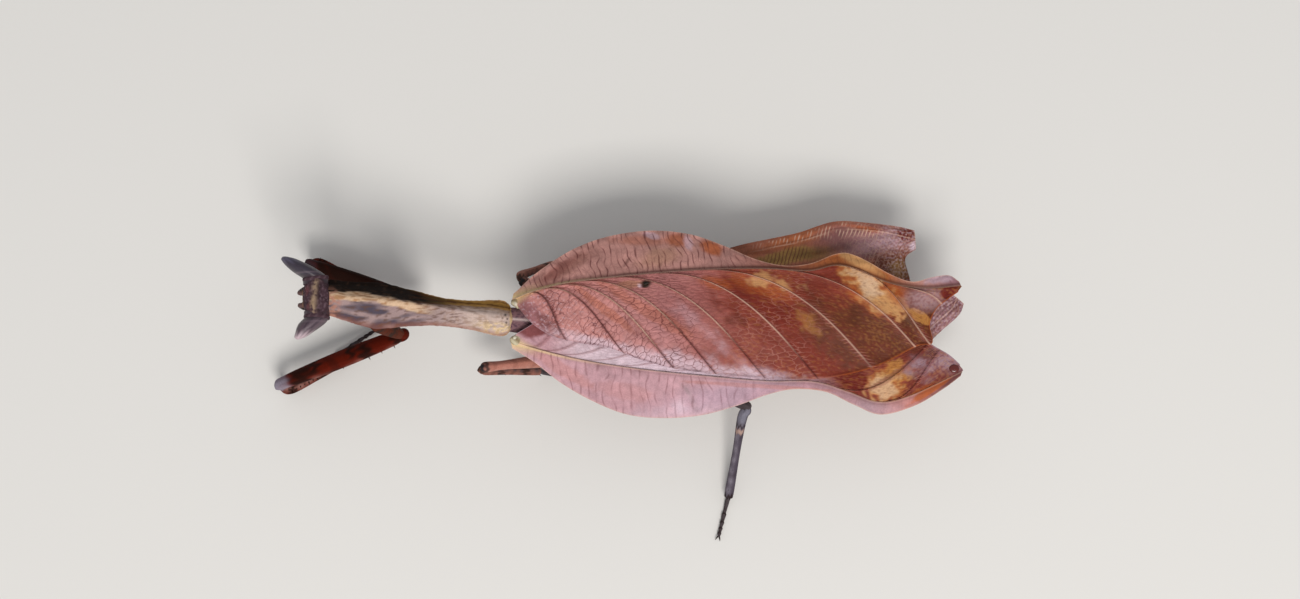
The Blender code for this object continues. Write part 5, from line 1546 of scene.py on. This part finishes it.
WALKING_LEGS = {
    "mid_left": {
        "root": (3.5, -1.3, 3.75), "hip": (2.6, -2.55, 2.85), "knee": (-2.7, -3.45, 5.2),
        "ankle": (1.5, -3.3, 0.75), "toe": (4.5, -4.0, 0.22),
    },
    "mid_right": {
        "root": (5.3, 1.3, 3.5), "hip": (4.0, 2.35, 2.8), "knee": (0.2, 3.15, 6.5),
        "ankle": (2.4, 5.2, 0.75), "toe": (5.3, 6.2, 0.22),
    },
    "hind_left": {
        "root": (7.2, -1.2, 3.75), "hip": (8.1, -2.1, 2.95), "knee": (18.0, -5.95, 4.1),
        "ankle": (16.6, -12.9, 0.75), "toe": (15.9, -16.0, 0.22),
    },
    "hind_right": {
        "root": (7.2, 1.2, 3.75), "hip": (8.3, 2.1, 2.95), "knee": (17.2, 4.3, 4.3),
        "ankle": (24.4, 6.9, 0.75), "toe": (27.5, 7.5, 0.22),
    },
}
FEMUR = [
    (0.0, 0.2, 0.22), (0.05, 0.42, 0.46), (0.12, 0.48, 0.54), (0.3, 0.46, 0.56), (0.7, 0.34, 0.40),
    (0.92, 0.40, 0.44),
    (0.98, 0.3, 0.34), (1.0, 0.12, 0.14),
]
TIBIA = [
    (0.0, 0.16, 0.16), (0.05, 0.33, 0.3), (0.14, 0.36, 0.34), (0.5, 0.28, 0.29), (0.94, 0.33, 0.32),
    (1.0, 0.2, 0.2),
]


def leg_tone(base, blotch, spots, end_colour=None, edge=None, edge_at=math.pi, marks=()):
    """Colour along a leg: a base, dark blotches, a pale edge, a coloured far end and coloured rings.

    spots holds (share, half length, angle round the leg, or None for a ring)."""
    def tone(shares, angles):
        wave = np.sin(34 * shares + 2 * np.sin(angles)) * np.sin(13 * shares + 1.0)
        tones = mix(base, blotch, 0.35 * smoothstep(0.1, 0.9, wave))
        if edge is not None:
            rim = np.maximum(0, np.cos(angles - edge_at + 0.25 * np.sin(21 * shares))) ** 3
            tones = mix(tones, edge, (0.6 + 0.25 * np.sin(57 * shares)) * rim * smoothstep(0.0, 0.1, shares))
        for at, half, facing in spots:
            around = 1.0 if facing is None else smoothstep(-0.2, 0.5, np.cos(angles - facing))
            ragged = 0.3 * half * np.sin(3 * angles + 47 * shares) + 0.02 * np.sin(7 * angles + 9 * at)
            patch = np.exp(-(((shares - at - ragged) / half) ** 4))
            tones = mix(tones, blotch, 0.9 * patch * around)
        for at, half, colour, *facing in marks:
            around = smoothstep(-0.1, 0.6, np.cos(angles - facing[0])) if facing else 1.0
            tones = mix(tones, colour, 0.85 * around
                * np.exp(-(((shares - at - 0.01 * np.sin(5 * angles)) / half) ** 4)))
        if end_colour is not None:
            tones = mix(tones, end_colour, smoothstep(0.945, 0.985, shares - 0.01 * np.sin(4 * angles)))
        return tones
    return tone


def claws(toe, way):
    """Two curved claws at the toe's end."""
    toe, way = np.asarray(toe, float), unit(way)
    across = np.cross(way, (0, 0, 1))
    made = []
    for side in (-1, 1):
        made.append(limb(
            [toe - way * 0.14, toe + way * 0.12 + across * side * 0.13 + (0, 0, 0.05),
             toe + way * 0.3 + across * side * 0.19 - (0, 0, 0.12)],
            [(0, 0.07, 0.07), (0.5, 0.05, 0.05), (1, 0.012, 0.012)], (0, 0, 1), plain(BLACKISH), rings=12,
            sides=8,
        ))
    return made


def keep_over_floor(shape):
    """The shape with what lies under the floor pressed flat on it."""
    points, faces, tones = shape
    return np.column_stack([points[:, :2], np.maximum(points[:, 2], 0.0)]), faces, tones


def foot(start, toe):
    """Five joints that get thicker towards their ends, with claws."""
    start, toe = np.array(start, float), np.array(toe, float)
    way = toe - start
    path = [start, start + way * 0.5 + (0, 0, -0.02), toe]
    joints = limb(path, TARSUS, (0, 0, 1), leg_tone(SLATE, BLACKISH,
        [(s, 0.025, None) for s in (0.38, 0.6, 0.76, 0.88)]),
                  rings=90, sides=14)
    return [joints] + claws(toe, way)


def spur(root, way, length, radius, colour):
    """A spine that tapers to a sharp, slightly bent point."""
    root, way = np.asarray(root, float), unit(way)
    side = unit(np.cross(way, (0.3, 0.2, 1)))
    return limb([root - way * radius * 2, root + way * length * 0.5,
        root + way * length + side * 0.08 * length],
                [(0, radius, radius), (0.3, radius * 0.85, radius * 0.85), (0.7, radius * 0.5, radius * 0.5),
                 (1, radius * 0.06, radius * 0.06)], side, plain(colour), rings=9, sides=8)


SHIN_SPINES = 22


def walking_leg(name, points, tone_femur, tone_tibia):
    """A walking leg from hip to claws, with fine spines along its shin and two spurs at the ankle."""
    root, hip, knee, ankle, toe = (np.array(points[k]) for k in ("root", "hip", "knee", "ankle", "toe"))
    up = (0, 0, 1)
    thigh, shin = unit(knee - hip), unit(ankle - knee)
    across = unit(np.cross(thigh, shin))
    away = unit(shin - thigh * shin.dot(thigh))
    below = knee + away * 0.75 - thigh * 0.3
    onward = unit(toe - ankle)
    shapes = [
        limb([root + (0, 0, 0.9), root, hip - thigh * 0.1],
            [(0, 0.5, 0.55), (0.5, 0.58, 0.6), (0.85, 0.42, 0.44), (1, 0.2, 0.2)],
             up, leg_tone(LEAF_BROWN, BARK_DARK, [(0.55, 0.05, None)]), rings=30, sides=24),
        limb([hip - thigh * 0.3, hip + thigh * 0.25, hip + thigh * 0.7],
            [(0, 0.12, 0.12), (0.2, 0.33, 0.34), (0.7, 0.4, 0.42), (1, 0.3, 0.3)],
             up, plain(LEAF_BROWN * 0.7), rings=18, sides=24),
        limb([hip + thigh * 0.2, (hip + knee) / 2 + (0, 0, 0.15), knee + thigh * 0.12], FEMUR, up, tone_femur,
             rings=90, sides=32, ridge=0.035),
        limb([knee - thigh * 0.22 + away * 0.02, knee - thigh * 0.12 + away * 0.35, below + shin * 0.35,
              (below + ankle) / 2 + away * 0.06, ankle + shin * 0.05], TIBIA, across, tone_tibia, rings=110,
              sides=32, ridge=0.075),
        limb([ankle - shin * 0.25, ankle + shin * 0.1, ankle + (0, 0, -0.45) + onward * 0.3],
             [(0, 0.2, 0.2), (0.5, 0.19, 0.19), (1, 0.12, 0.12)], across, plain(SLATE), rings=16, sides=16),
    ]
    shapes += foot(ankle + (0, 0, -0.5) + onward * 0.1, toe)
    dice = random.Random(sum(map(ord, name)))
    for n in range(SHIN_SPINES):
        share = 0.12 + 0.04 * n
        row = (across, -across, away)[n % 3]
        at = below + (ankle - below) * share + row * 0.24
        shapes.append(spur(at, row + shin * 0.9, dice.uniform(0.1, 0.2), 0.028, BLACKISH))
    for side in (-1, 1):
        shapes.append(spur(ankle - shin * 0.25 + across * side * 0.22, shin + across * side * 0.5, 0.42,
            0.06, BLACKISH))
    return union(name, [keep_over_floor(s) for s in shapes])


def fore_leg(name, side, root, hip, knee):
    """The grasping leg, its shin folded under the thigh, with two rows of spines on each."""
    root, hip, knee = (np.array(p, float) for p in (root, hip, knee))
    back = unit(hip - knee)
    outward = np.array((0, side, 0))
    shin_start = knee + outward * 0.55 + back * 0.1
    shin_end = shin_start + back * 5.8 - outward * 0.6
    shin_start[2], shin_end[2] = 0.62, 0.36
    toe_root = shin_start + back * 4.4 - outward * 1.3
    toe_end = toe_root + back * 3.2 - outward * 0.8
    toe_root[2], toe_end[2] = 0.25, 0.22
    lean = unit((0, side * 0.5, 1))
    coxa_way = unit(hip - root)
    outer = math.pi if side < 0 else 0.0
    inner = math.pi - outer
    blotches_and_shade = [
        (0.04, 0.05, 1.6), (0.3, 0.045, 1.8), (0.4, 0.03, inner), (0.56, 0.065, outer + 0.5),
        (0.66, 0.03, inner),
        (0.78, 0.09, 1.4),
    ]
    # The right foreleg lies in shade: the broad dark patches over its thigh, its dark knee and its darker
    # shin are painted shade.
    if side > 0:
        blotches_and_shade = [(0.04, 0.05, 1.6), (0.3, 0.05, 1.8), (0.6, 0.4, 2.0), (0.6, 0.4, 1.4)]
    # The left thigh's pale rim and the right thigh's reddish rim are painted highlights along the lit edge.
    rim, knee_colour = (srgb(160, 112, 102), KNEE_GREY * 0.85) if side < 0 else (srgb(140, 56, 40),
        srgb(62, 50, 54))
    thigh_tone = leg_tone(MAHOGANY, BLACKISH, blotches_and_shade, knee_colour, rim, outer,
        marks=[(1.0, 0.1, knee_colour)])
    shin_colour, shin_rim = (srgb(104, 58, 50), srgb(146, 108, 100)) if side < 0 else (MAHOGANY * 1.1,
        srgb(110, 60, 48))
    shin_tone = leg_tone(shin_colour, BLACKISH, [(0.25, 0.05, None), (0.6, 0.05, None)], None, shin_rim,
        outer,
                         marks=[(0.0, 0.1, knee_colour)])
    shapes = [
        limb([root + (0.0, -side * 0.2, 1.0), root + coxa_way * 0.4, root + coxa_way * 3.0,
            hip - coxa_way * 0.4], FORE_COXA,
             (0, 1, 0), leg_tone(srgb(88, 42, 28), BARK_DARK, [(0.25, 0.06, None), (0.62, 0.07, None)],
                 MAHOGANY),
             rings=70, sides=30, ridge=0.05),
        limb([hip - coxa_way * 0.9, hip + back * 0.12, hip - back * 0.8],
             [(0, 0.3, 0.3), (0.35, 0.42, 0.44), (0.7, 0.44, 0.5), (1, 0.3, 0.3)], (0, 1, 0),
             leg_tone(MAHOGANY, BLACKISH, [(0.55, 0.08, None)]), rings=26, sides=26),
        limb([hip + back * 0.15, (hip + knee) / 2 + (0, 0, 0.05), knee + back * 0.7,
            knee - back * 0.06 + (0, 0, -0.22)],
             FORE_FEMUR, lean, thigh_tone, rings=120, sides=40, ridge=0.025),
        limb([knee + back * 0.3 + (0, 0, -0.3), knee + outward * 0.16 + back * 0.2 + (0, 0, -1.1),
              shin_start + back * 0.75, (shin_start + shin_end) / 2 + outward * 0.05,
              shin_end - back * 0.35, shin_end + (0, 0, 0.4)],
             FORE_TIBIA, outward, shin_tone, rings=110, sides=28, ridge=0.04),
        limb([shin_start + (shin_end - shin_start) * 0.72, toe_root + back * 0.15],
            [(0, 0.14, 0.14), (1, 0.13, 0.13)],
             (0, 0, 1), plain(MAHOGANY), rings=8, sides=14),
    ]
    shapes += foot(toe_root, toe_end)
    dice = random.Random(7 if side < 0 else 8)
    rows = (
        (hip, knee, FORE_FEMUR, np.array((0, 0, -1.0)), 15, 0.085, (0.45, 0.8), 0.9),
        (shin_start, shin_end, FORE_TIBIA, np.array((0, 0, 1.0)), 13, 0.06, (0.26, 0.46), 1.5),
    )
    for start, end, sizes, facing, count, radius, lengths, spread in rows:
        along = unit(end - start)
        across = unit(np.cross(along, (0, 0, 1)))
        for row in (-1, 1):
            for n in range(count):
                share = 0.1 + 0.78 * (n + 0.5 * (row > 0)) / count
                half_width, half_height = (size[0] for size in columns_at(sizes, [share]))
                at = start + (end - start) * share
                at = at + across * row * half_width * 0.5 + facing * half_height * 0.8
                way = facing + across * row * spread - along * 0.25
                long_one = (1.0, 0.55, 0.75, 0.55)[n % 4]
                shapes.append(spur(at, way, dice.uniform(*lengths) * long_one,
                    radius * (0.7 + 0.3 * long_one), BLACKISH * 1.5))
    return union(name, [keep_over_floor(s) for s in shapes])


def build_legs():
    grasping = skin_material("grasping_leg_skin", roughness=0.55, cloud=0.14, grain=0.25, scale=30.0,
        depth=0.014, specular=0.02)
    walking = skin_material("walking_leg_skin", roughness=0.6, cloud=0.12, grain=0.3, scale=30.0,
        depth=0.016, specular=0.1)
    segments = ("coxa", "femur", "tibia", "tarsus")
    for hand, points in FORELEGS.items():
        name = "foreleg_%s_skin" % hand
        nodes = ["fore_%s_%s" % (segment, hand) for segment in segments]
        add_piece(name, fore_leg(name, **points), grasping, nodes)
    brown = leg_tone(srgb(166, 110, 96), srgb(118, 74, 62), [(0.08, 0.06, None)], srgb(44, 40, 42),
        srgb(172, 124, 112),
                     marks=[(0.93, 0.03, srgb(50, 40, 40))])
    slate = leg_tone(SLATE, BLACKISH, [(0.1, 0.05, None), (0.5, 0.03, 1.5)], None, BARK_GREY)
    shin = leg_tone(srgb(136, 90, 78), BARK_DARK, [(0.04, 0.04, None), (0.4, 0.04, 1.5), (0.75, 0.05, None)],
        None, SLATE)
    top = -math.pi / 2
    # The hind shins' pale bluish edge and bluish patch on top near the knee are a painted highlight.
    spotted = leg_tone(srgb(78, 70, 80), BLACKISH,
        [(0.12, 0.05, top + 1.3), (0.24, 0.02, top), (0.98, 0.03, None)], None,
                       srgb(128, 120, 130), top - 0.4,
                       marks=[(0.08, 0.13, srgb(122, 120, 132), top), (0.3, 0.025, srgb(172, 142, 130), top)])
    for pair, points in WALKING_LEGS.items():
        where, hand = pair.split("_")
        name = "%s_leg_%s_skin" % (where, hand)
        nodes = ["%s_%s_%s" % (where, segment, hand) for segment in segments]
        mesh = walking_leg(name, points, brown if where == "mid" else slate,
            spotted if where == "hind" else shin)
        add_piece(name, mesh, walking, nodes)


# Floor, camera and light

CAMERA_DISTANCE = 170.0
CAMERA_TILT = math.radians(6)
CAMERA_ROLL = math.radians(1.3)
AIM = (10.097, 1.71, 9.0)
LENS = 62.33
FLOOR_COLOUR = (0.72, 0.70, 0.67, 1)
FLOOR_REACH = 0.6
WINDOW_PLACE = (0.06, -0.27, 0.38)
WINDOW_AIM = (0, 0, 0.005)
WINDOW_SIZE = 0.2
WINDOW_POWER = 1.65
WINDOW_COLOUR = (1.0, 0.98, 0.95)
STUDIO_COLOUR = (0.95, 0.97, 1.0, 1)
STUDIO_STRENGTH = 0.5


def build_camera():
    """Almost straight above, leaning a little to the animal's left."""
    down = Vector((0, math.sin(CAMERA_TILT), -math.cos(CAMERA_TILT)))
    level = Vector((1, 0, 0))
    rise = Vector((0, math.cos(CAMERA_TILT), math.sin(CAMERA_TILT)))
    c, s = math.cos(CAMERA_ROLL), math.sin(CAMERA_ROLL)
    right, up = level * c + rise * s, rise * c - level * s
    camera = bpy.data.cameras.new("camera")
    camera.lens = LENS
    camera.clip_start = 0.01
    mount = bpy.data.objects.new("camera", camera)
    turn = Matrix((right, up, -down)).transposed().to_4x4()
    place = Vector(to_world([AIM])[0]) - down * CAMERA_DISTANCE * MM
    mount.matrix_world = Matrix.Translation(place) @ turn
    bpy.context.scene.collection.objects.link(mount)
    bpy.context.scene.camera = mount


def build_floor():
    material, _, shader = new_material("floor_paper")
    shader.inputs["Base Color"].default_value = FLOOR_COLOUR
    shader.inputs["Roughness"].default_value = 0.8
    mesh = bpy.data.meshes.new("floor")
    corners = [(x * FLOOR_REACH, y * FLOOR_REACH, 0) for x, y in ((-1, -1), (1, -1), (1, 1), (-1, 1))]
    mesh.from_pydata(corners, [], [(0, 1, 2, 3)])
    mesh.materials.append(material)
    floor = bpy.data.objects.new("floor", mesh)
    bpy.context.scene.collection.objects.link(floor)


def add_light(name, place, aim, size, power, colour):
    lamp = bpy.data.lights.new(name, "AREA")
    lamp.size = size
    lamp.energy = power
    lamp.color = colour
    holder = bpy.data.objects.new(name, lamp)
    holder.location = place
    holder.rotation_euler = (Vector(aim) - Vector(place)).to_track_quat("-Z", "Y").to_euler()
    bpy.context.scene.collection.objects.link(holder)


def build_light():
    add_light("window", WINDOW_PLACE, WINDOW_AIM, WINDOW_SIZE, WINDOW_POWER, WINDOW_COLOUR)
    world = bpy.data.worlds.new("studio")
    world.use_nodes = True
    background = world.node_tree.nodes["Background"]
    background.inputs["Color"].default_value = STUDIO_COLOUR
    background.inputs["Strength"].default_value = STUDIO_STRENGTH
    bpy.context.scene.world = world
    bpy.context.scene.view_settings.view_transform = "Standard"


build_wings()
build_trunk()
build_head_details()
build_legs()
build_floor()
build_camera()
build_light()
